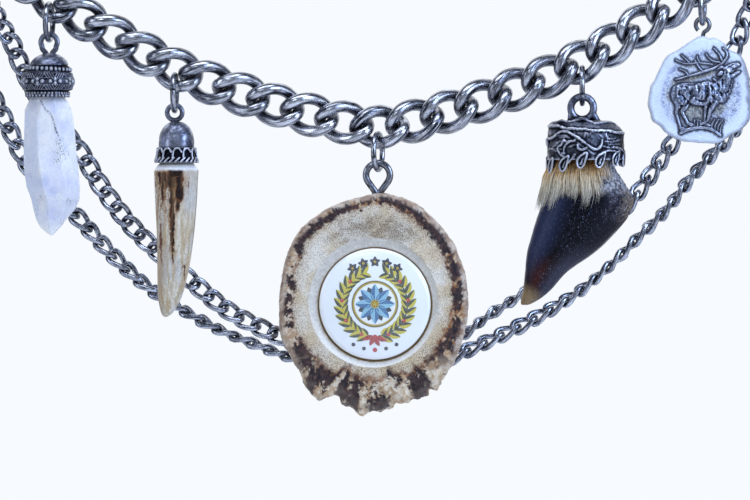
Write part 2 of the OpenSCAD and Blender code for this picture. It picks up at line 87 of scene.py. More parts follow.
# Where each charm hangs: link, place along it, turn of the ring, drop of the ring's middle,
# and how far the charm is shifted right and down
HANGS = {
    "crystal": (-10, 2, -10, 1.3, 0.6, 0.5),
    "antler_tip": (-6, 1.7, -5, 1.5, 0.4, 0.4),
    "medallion": (0, -0.4, -14, 1.8, 0, 0),
    "hoof": (6, -1.8, -1, 1.6, 0, 0),
    "antler_slice": (10, -2.2, -7, 1.25, 0, 0)}
RING_NODES = {
    "crystal": "crystal_ring", "antler_tip": "antler_tip_ring", "medallion": "medallion_ring",
    "hoof": "hoof_ring", "antler_slice": "slice_ring"}
# The fine chains' routes from the chain's middle: x, depth, z
UPPER_ROUTE = [
    (-84.5, 0.6, 28.6), (-84.3, 1, 27.2), (-81.8, 5.4, 22.2), (-79.5, 8.2, 18), (-77.5, 9.8, 13),
    (-74, 10.2, 6.5), (-69.5, 10.2, 0.5), (-65, 10.2, -5), (-60.5, 9.8, -12.5), (-54.5, 9, -20.5),
    (-48, 8.4, -27), (-40.5, 7.8, -33.5), (-33, 7.4, -39.5), (-25.5, 7.2, -43.5), (-15, 7, -48),
    (-2, 7, -51.5), (10, 7, -49), (18.5, 7, -44.5), (24, 7.4, -40.5), (31, 8, -36), (38, 8.6, -30.5),
    (46, 9, -24), (54, 9, -16.5), (60, 8.4, -8.5), (64, 7.2, -2.5), (70, 6, 7), (76.5, 5.6, 16.5),
    (78.8, 4.8, 22.5), (80.9, 2.6, 27.4), (82.3, -0.2, 31.5), (82.4, -0.6, 32.9)]
LOWER_ROUTE = [
    (-96.7, 0.6, 38.4), (-96.5, 1, 37), (-94, 5.6, 31), (-91, 8.8, 23.5), (-86.5, 11.4, 12.5),
    (-81, 13.2, 1), (-76.5, 14.2, -8), (-71.5, 14.4, -14), (-65.5, 14.2, -19.5), (-60.5, 13.8, -25),
    (-54.5, 13.2, -31), (-49, 12.6, -35.5), (-42, 12, -40), (-34.5, 11.6, -44), (-27, 11.3, -47),
    (-17, 11, -50.5), (-2, 11, -53), (11, 11, -51.5), (22, 10.8, -47), (29.5, 10.5, -43.5),
    (37, 10.5, -39.5), (44, 10.5, -35), (50.5, 10.5, -29.5), (56, 10.4, -24), (62, 10, -18),
    (67.5, 9.4, -11), (72, 8.8, -6), (76.5, 8.2, -1), (81, 7.4, 8), (86.5, 6, 21), (91, 3.6, 33),
    (94.2, -0.2, 41.5), (94.4, -0.6, 42.9)]
# How far each fine chain is turned about its line: place along x, degrees
UPPER_ROLL = [
    (-85, 5), (-60, 6), (-45, 12), (-33, 20), (-22, 28), (0, 60), (16, 88), (32, 90), (44, 68),
    (52, 48), (60, 45), (85, 20)]
LOWER_ROLL = [
    (-97, 10), (-72, 30), (-66, 40), (-58, 52), (-52, 62), (-42, 76), (-34, 86), (-20, 90), (0, 90),
    (16, 60), (36, 58), (42, 75), (50, 90), (58, 86), (66, 80), (72, 75), (80, 60), (97, 40)]

# Small maths


def unit(v):
    return v / np.linalg.norm(v, axis=-1, keepdims=True)


def mix(a, b, t):
    """From a to b as t goes from 0 to 1, for numbers or colours."""
    t = np.asarray(t, float)
    a, b = np.asarray(a, float), np.asarray(b, float)
    if a.ndim and a.shape[-1] == 3 and (t.ndim == 0 or t.shape[-1:] != (3,) or t.ndim == 1):
        t = t[..., None]
    return a + (b - a) * t


def smooth(low, high, x):
    t = np.clip((x - low) / (high - low), 0, 1)
    return t * t * (3 - 2 * t)


def once_round(count):
    return np.linspace(0, 2 * np.pi, count, endpoint=False)


def way_at(angle):
    return np.stack([np.cos(angle), np.sin(angle)], -1)


def polar(radius, degrees):
    return radius * way_at(np.radians(degrees))


def facing(flat, y):
    """Flat points turned to face the viewer, at a depth."""
    return np.stack([flat[:, 0], y + 0 * flat[:, 0], flat[:, 1]], -1)


def srgb(r, g, b):
    """A colour named as seen on a screen, 0 to 255, as linear light."""
    c = np.array([r, g, b]) / 255
    return np.where(c <= 0.04045, c / 12.92, ((c + 0.055) / 1.055) ** 2.4)


LATTICE_SIZE = 64
LATTICE = np.random.default_rng(SEED).random((LATTICE_SIZE,) * 3)


def noise(p, octaves=3, gain=0.5):
    """Smooth noise between 0 and 1 at each point."""
    total, weight, height = 0, 0, 1.0
    p = np.asarray(p, float)
    for k in range(octaves):
        q = p * 2 ** k + 17.3 * k
        i = np.floor(q).astype(int)
        f = q - i
        f = f * f * (3 - 2 * f)
        value = 0
        for dx in (0, 1):
            for dy in (0, 1):
                for dz in (0, 1):
                    w = (f[:, 0] if dx else 1 - f[:, 0]) * (f[:, 1] if dy else 1 - f[:, 1])
                    w = w * (f[:, 2] if dz else 1 - f[:, 2])
                    x, y, z = ((i + [dx, dy, dz]) % LATTICE_SIZE).T
                    value = value + w * LATTICE[x, y, z]
        total = total + value * height
        weight += height
        height *= gain
    return total / weight


# The heavy chain's run, worked out as in the part's source


def climb(s):
    table = LEFT_CLIMB if s < 0 else RIGHT_CLIMB
    angle = np.interp(abs(s), [row[0] for row in table], [row[1] for row in table])
    return np.radians(-angle if s < 0 else angle)


def in_xz(angle):
    return np.array([np.cos(angle), 0, np.sin(angle)])


middles = {0: np.zeros(3)}
for i in range(1, LINKS_EACH_SIDE + 1):
    middles[i] = middles[i - 1] + HEAVY_PITCH * in_xz(climb(i - 0.5))
    middles[-i] = middles[1 - i] - HEAVY_PITCH * in_xz(climb(0.5 - i))


def link_tilt(i):
    return (climb(i - 0.5) + climb(i + 0.5)) / 2


def link_roll(i):
    return HEAVY_ROLL * np.clip(i / 11, -1, 1)


def turned_xz(p, angle):
    p = np.asarray(p, float)
    x, z = p[..., 0], p[..., 2]
    return np.stack([x * np.cos(angle) - z * np.sin(angle), p[..., 1],
                     x * np.sin(angle) + z * np.cos(angle)], -1)


def turned_xy(p, angle):
    p = np.asarray(p, float)
    x, y = p[..., 0], p[..., 1]
    return np.stack([x * np.cos(angle) - y * np.sin(angle), x * np.sin(angle) + y * np.cos(angle),
                     p[..., 2]], -1)


def wire_point(along, across, half_length, twist, roll):
    turn = np.radians(twist * along / half_length + roll)
    return np.stack([along, across * np.sin(turn), across * np.cos(turn)], -1)


def link_path(half_length, half_width, twist, roll, count, power=LINK_POWER):
    """The middle of a twisted oval link's wire, even along its length."""
    t = once_round(720)
    c, s = np.cos(t), np.sin(t)
    along = half_length * np.sign(c) * np.abs(c) ** (2 / power)
    across = half_width * np.sign(s) * np.abs(s) ** (2 / power)
    return resample(wire_point(along, across, half_length, twist, roll), count, True)


def hook_way(side):
    return side * in_xz(link_tilt(side * LINKS_EACH_SIDE))


def hook_bend_middle(side):
    bow_gap = HOOK_EYE_R - HOOK_WIRE / 2 - HEAVY_WIRE / 2 - HANG_GAP
    reach = HEAVY_HALF_LENGTH + bow_gap + HOOK_EYE_R + HOOK_SHANK + HOOK_R
    return middles[side * LINKS_EACH_SIDE] + reach * hook_way(side)


ORIGIN = hook_bend_middle(-1) + (HOOK_R - HOOK_WIRE / 2) * hook_way(-1)


def strand_point(hang):
    link, along = hang[0], hang[1]
    across = -HEAVY_HALF_WIDTH * (1 - (abs(along) / HEAVY_HALF_LENGTH) ** LINK_POWER) ** (1 / LINK_POWER)
    p = wire_point(along, across, HEAVY_HALF_LENGTH, HEAVY_TWIST, link_roll(link))
    return middles[link] + turned_xz(p, link_tilt(link)) - ORIGIN


def ring_middle(hang):
    return strand_point(hang) - [0, 0, hang[3]]


def pivot(name):
    return ring_middle(HANGS[name]) - [0, 0, RING_R]


def charm_place(name):
    return pivot(name) + [HANGS[name][4], 0, -HANGS[name][5]]


# Paths and shapes


def distances(path):
    """How far along a path each of its points is."""
    return np.concatenate([[0], np.cumsum(np.linalg.norm(np.diff(path, axis=0), axis=1))])


def resample(path, count, closed):
    q = np.vstack([path, path[:1]]) if closed else np.asarray(path, float)
    d = distances(q)
    t = np.linspace(0, d[-1], count + closed)[:count]
    return np.stack([np.interp(t, d, q[:, k]) for k in range(q.shape[1])], 1)


def curve(points, count, closed=False):
    """A smooth curve through a few points, given as evenly spaced points."""
    p = np.asarray(points, float)
    n = len(p)
    get = (lambda i: p[i % n]) if closed else (lambda i: p[min(max(i, 0), n - 1)])
    out = []
    for i in range(n if closed else n - 1):
        a, b, c, d = get(i - 1), get(i), get(i + 1), get(i + 2)
        for t in np.linspace(0, 1, 12, endpoint=False):
            out.append(0.5 * (2 * b + (c - a) * t + (2 * a - 5 * b + 4 * c - d) * t * t
                              + (3 * b - a - 3 * c + d) * t ** 3))
    if not closed:
        out.append(p[-1])
    return resample(np.array(out), count, closed)


def eased(path, rounds):
    """A path with its corners bent round, as wire bends."""
    for _ in range(rounds):
        path[1:-1] = (path[:-2] + path[1:-1] * 2 + path[2:]) / 4
    return path


class Shape:
    """Points, faces and values at the points, collected for one mesh."""

    def __init__(self):
        self.points, self.faces, self.values, self.count = [], [], [], 0

    def add(self, points, faces, **values):
        self.points.append(np.asarray(points, float))
        self.faces += [np.asarray(block) + self.count for block in faces]
        self.values.append(values)
        self.count += len(points)
        return self

    def add_wire(self, path, radius, sides, closed=False):
        points, faces, grain = wire(path, radius, sides, closed)
        return self.add(points, faces)

    def moved(self, offset):
        self.points = [p + offset for p in self.points]
        return self


def grid_faces(rows, columns, closed=False):
    """Quads of rows of points that close on themselves; the last row meets the first if closed."""
    r = np.arange(rows if closed else rows - 1)[:, None]
    c = np.arange(columns)[None, :]
    r1, c1 = (r + 1) % rows, (c + 1) % columns
    quads = np.stack([r * columns + c, r * columns + c1, r1 * columns + c1, r1 * columns + c], -1)
    return quads.reshape(-1, 4)


def tube_faces(rows, columns, flipped=False):
    """Faces of rows of points that close on themselves, with a flat face at each end."""
    ends = [np.arange(columns)[None, ::-1], ((rows - 1) * columns + np.arange(columns))[None]]
    faces = [grid_faces(rows, columns)] + ends
    return [block[:, ::-1] for block in faces] if flipped else faces


# How a wire's end closes: how far out each ring of points lies, and its size, in radii
ROUND_END = [(1.0, 0.06), (0.92, 0.38), (0.71, 0.71), (0.38, 0.92)]
FLAT_END = [(0.1, 0.05), (0.1, 0.8), (0.06, 0.93)]


def wire(path, radius, sides, closed=False, end=ROUND_END):
    """A round wire along a path: points, faces and the direction of its drawing lines."""
    path = np.asarray(path, float)
    n = len(path)
    ahead, behind = np.roll(path, -1, 0), np.roll(path, 1, 0)
    if not closed:
        ahead[-1], behind[0] = path[-1], path[0]
    way = unit(ahead - behind)
    out = np.zeros_like(path)
    first = np.array([0, 1.0, 0]) if abs(way[0][1]) < 0.8 else np.array([1.0, 0, 0])
    out[0] = unit(first - (first @ way[0]) * way[0])
    for i in range(1, n):
        out[i] = unit(out[i - 1] - (out[i - 1] @ way[i]) * way[i])
    if closed:
        last = unit(out[-1] - (out[-1] @ way[0]) * way[0])
        left = np.arctan2(np.cross(last, out[0]) @ way[0], last @ out[0])
        spread = (left * np.arange(n) / n)[:, None]
        out = out * np.cos(spread) + np.cross(way, out) * np.sin(spread)
    radius = np.broadcast_to(np.asarray(radius, float).reshape(-1, 1), (n, sides))
    far = distances(path)
    if closed:
        whole = far[-1] + np.linalg.norm(path[0] - path[-1])
        far = whole / 2 - np.abs(far - whole / 2)
    else:
        r0, r1 = radius[0, 0], radius[-1, 0]
        head = [path[0] - way[0] * r0 * o for o, s in end]
        tail = [path[-1] + way[-1] * r1 * o for o, s in reversed(end)]
        sizes = np.array([s for o, s in end])
        radius = np.concatenate([radius[:1] * sizes[:, None], radius, radius[-1:] * sizes[::-1, None]])
        path = np.vstack([head, path, tail])
        way = np.vstack([way[:1]] * len(end) + [way] + [way[-1:]] * len(end))
        out = np.vstack([out[:1]] * len(end) + [out] + [out[-1:]] * len(end))
        far = np.concatenate([[0] * len(end), far, [far[-1]] * len(end)])
        n = len(path)
    side = np.cross(way, out)
    angle = once_round(sides)
    c, s = np.cos(angle)[None, :, None], np.sin(angle)[None, :, None]
    points = path[:, None] + radius[..., None] * (c * out[:, None] + s * side[:, None])
    along = np.broadcast_to(far[:, None], (n, sides))
    grain = np.stack([along, radius * c[..., 0], radius * s[..., 0]], -1)
    faces = [grid_faces(n, sides, True)] if closed else tube_faces(n, sides)
    return points.reshape(-1, 3), faces, grain.reshape(-1, 3)


def circle_path(middle, radius, start, sweep, count, plane="xz"):
    """Part of a circle facing the viewer, or edge on to the viewer, from an angle in degrees."""
    a = np.radians(start + np.linspace(0, sweep, count, endpoint=abs(sweep) < 360))
    zero = np.zeros_like(a)
    flat = {"xz": (np.cos(a), zero, np.sin(a)), "yz": (zero, np.cos(a), np.sin(a)),
            "xy": (np.cos(a), np.sin(a), zero)}[plane]
    return np.asarray(middle) + radius * np.stack(flat, -1)


def lathe(rows, sectors, bump=None):
    """A turned form: rows are z, radius and how far its axis lies to the right.

    bump(angle, z) adds to the radius."""
    rows = np.asarray(rows, float)
    z, a = np.meshgrid(rows[:, 0], once_round(sectors), indexing="ij")
    r = np.broadcast_to(rows[:, 1:2], z.shape).copy()
    if bump is not None:
        r = r + bump(a, z)
    points = np.stack([rows[:, 2:3] + r * np.cos(a), r * np.sin(a), z], -1).reshape(-1, 3)
    grain = np.stack([a * 4, z, r], -1).reshape(-1, 3)
    return points, [grid_faces(len(rows), sectors)], grain


def ball(middle, radius, squash=(1, 1, 1), rows=8, sides=11):
    up = np.linspace(-np.pi / 2, np.pi / 2, rows)
    u, a = np.meshgrid(up, once_round(sides), indexing="ij")
    p = np.stack([np.cos(u) * np.cos(a), np.cos(u) * np.sin(a), np.sin(u)], -1).reshape(-1, 3)
    return np.asarray(middle) + radius * p * np.asarray(squash), [grid_faces(rows, sides)]


# Making pieces


def make_mesh(name, shape):
    points = np.concatenate(shape.points)
    mesh = bpy.data.meshes.new(name)
    mesh.from_pydata((points * MM).tolist(), [], [row for block in shape.faces for row in block.tolist()])
    keys = sorted({k for values in shape.values for k in values})
    for key in keys:
        sample = next(np.asarray(v[key]) for v in shape.values if key in v)
        wide = sample.ndim > 1
        parts = []
        for p, v in zip(shape.points, shape.values):
            value = np.asarray(v.get(key, np.zeros(3) if wide else 0.0), float)
            parts.append(np.broadcast_to(value, (len(p), 3) if wide else (len(p),)))
        flat = np.concatenate(parts)
        layer = mesh.attributes.new(key, "FLOAT_VECTOR" if wide else "FLOAT", "POINT")
        layer.data.foreach_set("vector" if wide else "value", flat.astype(np.float32).ravel())
    mesh.validate()
    return mesh


def piece(name, shape, material, body, node):
    """Makes one piece of the object, which rides on a body and stands for its CAD node."""
    obj = bpy.data.objects.new(name, make_mesh(name, shape))
    bpy.context.scene.collection.objects.link(obj)
    obj.data.materials.append(material)
    obj.data.polygons.foreach_set("use_smooth", [True] * len(obj.data.polygons))
    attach(obj, body)
    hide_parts(node)


def charm_piece(name, shape, material, charm, node):
    """A piece of a charm, shaped from the charm's place and moved there."""
    shape.moved(charm_place(charm))
    piece(name, shape, material, charm + "_charm", node)


def fused(shape, voxel, rounds):
    """The outer skin of overlapping shapes, run together as cast or soldered metal is."""
    mesh = make_mesh("to_fuse", shape)
    obj = bpy.data.objects.new("to_fuse", mesh)
    bpy.context.scene.collection.objects.link(obj)
    remesh = obj.modifiers.new("skin", "REMESH")
    remesh.mode = "VOXEL"
    remesh.voxel_size = voxel * MM
    soften = obj.modifiers.new("soften", "SMOOTH")
    soften.factor, soften.iterations = 0.5, rounds
    made = bpy.data.meshes.new_from_object(obj.evaluated_get(bpy.context.evaluated_depsgraph_get()))
    bpy.data.objects.remove(obj)
    points = np.zeros(len(made.vertices) * 3)
    made.vertices.foreach_get("co", points)
    polygons = [list(f.vertices) for f in made.polygons]
    bpy.data.meshes.remove(made)
    faces = [np.array([p for p in polygons if len(p) == corners]) for corners in (3, 4)]
    return points.reshape(-1, 3) / MM, [block for block in faces if len(block)]


def hollows(points, faces, rounds):
    """How far each point of a skin lies below its surroundings, in millimetres; crests are negative."""
    ends = np.concatenate([np.stack([block[:, k], np.roll(block, -1, 1)[:, k]], -1)
                           for block in faces for k in range(block.shape[1])])
    ends = np.vstack([ends, ends[:, ::-1]])
    count = np.maximum(np.bincount(ends[:, 0], minlength=len(points)), 1)[:, None]
    soft = points.copy()
    for _ in range(rounds):
        total = np.stack([np.bincount(ends[:, 0], soft[ends[:, 1], k], len(points)) for k in range(3)], -1)
        soft = total / count
    normal = np.zeros_like(points)
    for block in faces:
        across = np.cross(points[block[:, 2]] - points[block[:, 0]],
                          points[block[:, -1]] - points[block[:, 1]])
        for k in range(block.shape[1]):
            for axis in range(3):
                normal[:, axis] += np.bincount(block[:, k], across[:, axis], len(points))
    return ((soft - points) * unit(normal + 1e-12)).sum(1)


# Materials


class Look:
    """A material's node tree, with short calls for the nodes used here."""

    def __init__(self, name):
        self.material = bpy.data.materials.new(name)
        self.material.use_nodes = True
        self.tree = self.material.node_tree
        self.shader = self.tree.nodes["Principled BSDF"]

    def put(self, socket, value):
        if isinstance(value, bpy.types.NodeSocket):
            self.tree.links.new(value, socket)
        elif hasattr(value, "__len__") and len(value) == 3 and len(socket.default_value) == 4:
            socket.default_value = (*[float(v) for v in value], 1)
        else:
            socket.default_value = value

    def node(self, kind, settings=None, **inputs):
        made = self.tree.nodes.new("ShaderNode" + kind)
        for key, value in (settings or {}).items():
            setattr(made, key, value)
        for key, value in inputs.items():
            self.put(made.inputs[key.replace("_", " ")], value)
        return made

    def value(self, name):
        return self.node("Attribute", {"attribute_name": name}).outputs["Fac"]

    def vector(self, name):
        return self.node("Attribute", {"attribute_name": name}).outputs["Vector"]

    def colour(self, name):
        return self.node("Attribute", {"attribute_name": name}).outputs["Color"]

    def place(self, scale):
        """The point on the object, in millimetres times a scale for each axis."""
        here = self.node("TexCoord").outputs["Object"]
        return self.node("Mapping", Vector=here, Scale=tuple(s / MM for s in scale)).outputs["Vector"]

    def scaled(self, vector, scale):
        return self.node("Mapping", Vector=vector, Scale=scale).outputs["Vector"]

    def noise(self, vector, detail=4.0, roughness=0.55, distortion=0.0):
        return self.node("TexNoise", Vector=vector, Scale=1.0, Detail=detail, Roughness=roughness,
                         Distortion=distortion).outputs["Fac"]

    def ramp(self, fac, *stops):
        """A run of colours or numbers: stops are (place, colour or number)."""
        made = self.node("ValToRGB", Fac=fac)
        elements = made.color_ramp.elements
        while len(elements) < len(stops):
            elements.new(0.5)
        for element, (place, value) in zip(elements, stops):
            element.position = place
            element.color = (*value, 1) if hasattr(value, "__len__") else (value, value, value, 1)
        return made.outputs["Color"]

    def mixed(self, fac, a, b, blend="MIX"):
        made = self.node("Mix", {"data_type": "RGBA", "blend_type": blend})
        self.put(made.inputs[0], fac)
        self.put(made.inputs[6], a)
        self.put(made.inputs[7], b)
        return made.outputs[2]

    def maths(self, operation, a, b):
        made = self.node("Math", {"operation": operation})
        self.put(made.inputs[0], a)
        self.put(made.inputs[1], b)
        return made.outputs[0]

    def bump(self, height, strength, depth, normal=None):
        made = self.node("Bump", Height=height, Strength=strength, Distance=depth * MM)
        if normal is not None:
            self.put(made.inputs["Normal"], normal)
        return made.outputs["Normal"]

    def finish(self, **sockets):
        for key, value in sockets.items():
            self.put(self.shader.inputs[key.replace("_", " ")], value)
        return self.material


def silver_look(name, dark, light, streak=(0.14, 1.3, 1.3), rough=(0.16, 0.34), dents=0.5, tarnish=0.5):
    """Antique silver: drawn streaks along the wire, black where polish never reaches."""
    look = Look(name)
    grain = look.vector("grain")
    broad = look.noise(look.scaled(grain, streak), 3, 0.6, 0.4)
    fine = look.noise(look.scaled(grain, tuple(s * 3.5 for s in streak)), 3, 0.65)
    patch = look.noise(look.place((0.35, 0.35, 0.35)), 3, 0.5)
    pits = look.noise(look.place((2.2, 2.2, 2.2)), 4, 0.6)
    streaks = look.mixed(0.42, broad, fine)
    tone = look.ramp(streaks, (0.40, dark), (0.48, mix(dark, light, 0.45)), (0.58, light))
    tone = look.mixed(look.ramp(patch, (0.42, 0.0), (0.7, tarnish)), tone, mix(dark, light, 0.12))
    tone = look.mixed(look.ramp(pits, (0.30, 0.45), (0.44, 0.0)), tone, dark)
    tone = look.mixed(look.value("polish"), tone, mix(light, srgb(255, 255, 255), 0.3))
    tone = look.mixed(look.value("recess"), tone, srgb(10, 12, 22))
    gloss = look.ramp(streaks, (0.36, rough[1]), (0.62, rough[0]))
    gloss = look.maths("MAXIMUM", gloss, look.maths("MULTIPLY", look.value("recess"), 0.55))
    normal = look.bump(fine, 0.5, 0.05)
    normal = look.bump(pits, 0.3, 0.05, normal)
    normal = look.bump(patch, dents, 0.14, normal)
    return look.finish(Base_Color=tone, Metallic=0.96, Roughness=gloss, Normal=normal)


def painted_look(name, rough, grain_scale, grain=0.25, depth=0.05, coat=0.0, coat_rough=0.1, subsurface=0.0,
                 speck_colour=(0.11, 0.045, 0.02), specular=0.5):
    """A finish whose large areas are laid on the mesh, with its fine grain from noise."""
    look = Look(name)
    fine = look.noise(look.place(grain_scale), 5, 0.65)
    tone = look.mixed(grain, look.colour("paint"), look.ramp(fine, (0.3, 0.35), (0.7, 1.0)), "MULTIPLY")
    tone = look.mixed(0.12, tone, look.ramp(fine, (0.35, 0.3), (0.65, 1.0)), "OVERLAY")
    dots = look.noise(look.place((4.2, 4.2, 3.0)), 2, 0.6)
    marked = look.maths("MULTIPLY", look.value("speck"), look.ramp(dots, (0.5, 0.0), (0.6, 0.85)))
    tone = look.mixed(marked, tone, speck_colour)
    shine = look.ramp(fine, (0.3, rough * 1.2), (0.7, rough * 0.85))
    settings = {}
    if subsurface:
        settings = {"Subsurface_Weight": subsurface, "Subsurface_Radius": (0.8 * MM, 0.6 * MM, 0.5 * MM)}
    return look.finish(Base_Color=tone, Roughness=shine, Normal=look.bump(fine, 0.5, depth),
                       Coat_Weight=coat, Coat_Roughness=coat_rough, Specular_IOR_Level=specular, **settings)


def recess_near(points, wires, radius, reach):
    """How closed in each point is by other wires: 1 against one, 0 past a reach from it."""
    others = np.concatenate(wires)
    closest = np.full(len(points), 1e9)
    for block in np.array_split(others, max(1, len(others) // 60)):
        d = np.linalg.norm(points[:, None] - block[None], axis=2).min(1)
        closest = np.minimum(closest, d)
    return 1 - smooth(0.05, reach, closest - radius)


CHAIN_SILVER = silver_look("chain_silver_look", srgb(34, 37, 52), srgb(224, 227, 240))
RING_SILVER = silver_look("ring_silver_look", srgb(32, 35, 50), srgb(200, 204, 218), (0.3, 2, 2))
FINE_SILVER = silver_look("fine_silver_look", srgb(34, 38, 56), srgb(214, 220, 238), (0.4, 2.5, 2.5),
                          (0.16, 0.32))
CAP_SILVER = silver_look("cap_silver_look", srgb(60, 64, 84), srgb(162, 168, 190), (0.4, 0.4, 0.4),
                         (0.28, 0.48), 0.35, 0.35)

# Heavy chain


def heavy_links():
    paths = {}
    for i, middle in middles.items():
        path = link_path(HEAVY_HALF_LENGTH, HEAVY_HALF_WIDTH, HEAVY_TWIST, link_roll(i), HEAVY_ROWS)
        paths[i] = middle + turned_xz(path, link_tilt(i)) - ORIGIN
    for i, path in paths.items():
        points, faces, grain = wire(path, HEAVY_SHOWN_R, HEAVY_SIDES, True)
        worn = 0.03 * (noise(points * 0.5 + 7 * i, 2) - 0.5)
        core = path.repeat(HEAVY_SIDES, 0)
        points = points + worn[:, None] * unit(points - core)
        near = [paths[k] for k in (i - 1, i + 1) if k in paths]
        recess = 0.92 * recess_near(points, near, HEAVY_WIRE / 2, 1.5)
        inside = unit(points - core) * unit(path.mean(0) - core)
        recess = np.maximum(recess, 0.35 * smooth(0.3, 1.0, inside.sum(1)))
        number = i + LINKS_EACH_SIDE + 1
        shape = Shape().add(points, faces, grain=grain + [9.7 * i, 0, 0], recess=recess)
        piece(f"link_{number}_wire", shape, CHAIN_SILVER, "chain", f"link_{number}")
    return paths


# Fine chains


def fine_chain(name, route, rolls, turn_seed):
    path = curve(np.array(route) - ORIGIN, 2400)
    far = distances(path)
    way = unit(np.gradient(path, axis=0))
    count = int(round((far[-1] - 2 * FINE_END) / FINE_PITCH))
    pitch = (far[-1] - 2 * FINE_END) / count
    draw = np.random.default_rng(turn_seed)
    wires = []
    for k in range(count):
        at = FINE_END + (k + 0.5) * pitch
        place = np.array([np.interp(at, far, path[:, c]) for c in range(3)])
        along = unit(np.array([np.interp(at, far, way[:, c]) for c in range(3)]))
        roll = np.interp(place[0] + ORIGIN[0], [r[0] for r in rolls], [r[1] for r in rolls])
        roll = roll + draw.uniform(-5, 5)
        flat = link_path(FINE_HALF_LENGTH, FINE_HALF_WIDTH, FINE_TWIST, roll, FINE_ROWS, FINE_SQUARENESS)
        depth = unit(np.array([0, 1.0, 0]) - along[1] * along)
        up = np.cross(along, depth)
        wires.append(place + flat @ np.stack([along, depth, up]))
    shape = Shape()
    for k, line in enumerate(wires):
        points, faces, grain = wire(line, FINE_WIRE / 2, FINE_SIDES, True)
        near = [wires[j] for j in (k - 1, k + 1) if 0 <= j < count]
        recess = 0.9 * recess_near(points, near, FINE_WIRE / 2, 0.75)
        shape.add(points, faces, grain=grain + [5.3 * k, 0, 0], recess=recess)
    piece(name + "_links", shape, FINE_SILVER, "chain", name)


# Rings
RING_SLIT = 0.09
RING_SIDES = 16


def ring_shape(middle, radius, thickness, turn, joint, heavy):
    """A bent ring of wire with its two cut ends nearly meeting, at an angle given in degrees."""
    open_part = np.degrees(RING_SLIT / radius)
    path = circle_path((0, 0, 0), radius, joint + open_part / 2, 360 - open_part, 72, "yz")
    path = turned_xy(path, np.radians(turn)) + middle
    points, faces, grain = wire(path, thickness / 2, RING_SIDES, False, FLAT_END)
    end = np.minimum(grain[:, 0], grain[:, 0].max() - grain[:, 0])
    recess = 0.8 * (1 - smooth(0, 0.35, end))
    recess = np.maximum(recess, 0.8 * recess_near(points, heavy, HEAVY_WIRE / 2, 0.9))
    return Shape().add(points, faces, grain=grain, recess=recess)


# Where each ring's cut ends meet: an angle in its own plane, from away from the viewer over the top
RING_JOINTS = {"crystal": -16, "antler_tip": 172, "medallion": 196, "hoof": 205, "antler_slice": 160}


def jump_rings(paths):
    for name, hang in HANGS.items():
        near = [paths[k] for k in (hang[0] - 1, hang[0], hang[0] + 1)]
        shape = ring_shape(ring_middle(hang), RING_R, RING_WIRE, hang[2], RING_JOINTS[name], near)
        piece(name + "_jump_ring", shape, RING_SILVER, name + "_hanger", RING_NODES[name])


JOINING_R = 3.2
JOINING_WIRE = 1.0
JOINING_RINGS = {"upper_left": -12, "upper_right": 12, "lower_left": -14, "lower_right": 14}


def joining_rings(paths):
    for name, link in JOINING_RINGS.items():
        hang = (link, -np.sign(link) * 1.8, -20, 0.3)
        shape = ring_shape(ring_middle(hang), JOINING_R, JOINING_WIRE, hang[2], 40, [paths[link]])
        node = "joining_ring_" + name
        piece(node + "_wire", shape, RING_SILVER, "chain", node)


# End hooks


HOOK_VOXEL = 0.2
HOOK_SIDES = 18


def end_hook(side, name):
    eye = -HOOK_R - HOOK_SHANK - HOOK_EYE_R
    bend = circle_path((0, 0, 0), HOOK_R, 180, HOOK_OPEN - 360, 44)
    shank = np.linspace([eye + HOOK_EYE_R - 0.2, 0, 0], [-HOOK_R, 0, 0], 6, endpoint=False)
    line = np.vstack([shank, bend])
    thick = np.full(len(line), HOOK_WIRE / 2)
    thick[-12:] *= np.linspace(1, 0.82, 12)
    shape = Shape()
    loop = circle_path((eye, 0, 0), HOOK_EYE_R, 0, 360, 56)
    for path, radius, closed in ((line, thick, False), (loop, HOOK_WIRE / 2, True)):
        shape.add_wire(path, radius, HOOK_SIDES, closed)
    points, faces = fused(shape, HOOK_VOXEL, 4)
    far = points[:, 0] - eye
    in_eye = far < HOOK_EYE_R + 1
    from_middle = np.where(in_eye, far, points[:, 0])
    across = np.hypot(from_middle, points[:, 2]) - np.where(in_eye, HOOK_EYE_R, HOOK_R)
    grain = np.stack([np.arctan2(points[:, 2], from_middle) * 4, across, points[:, 1]], -1)
    recess = 0.5 * (1 - smooth(0.2, 1.6, np.hypot(far - HOOK_EYE_R - 0.6, np.abs(points[:, 2]) - 1.2)))
    tilt = abs(link_tilt(side * LINKS_EACH_SIDE))
    points = turned_xz(points, tilt) * [side, 1, 1] + hook_bend_middle(side) - ORIGIN
    if side < 0:
        faces = [block[:, ::-1] for block in faces]
    shape = Shape().add(points, faces, grain=grain, recess=recess)
    piece(name + "_wire", shape, CHAIN_SILVER, "chain", name)


chain_paths = heavy_links()
fine_chain("fine_chain_upper", UPPER_ROUTE, UPPER_ROLL, SEED + 1)
fine_chain("fine_chain_lower", LOWER_ROUTE, LOWER_ROLL, SEED + 2)
jump_rings(chain_paths)
joining_rings(chain_paths)
end_hook(-1, "left_hook")
end_hook(1, "right_hook")

# Eyes and caps


def eye_drop(radius, thickness):
    """The middle of an eye that hangs in its jump ring, from the charm's pivot."""
    return np.array([0, 0, RING_WIRE / 2 + HANG_GAP + thickness / 2 - radius])


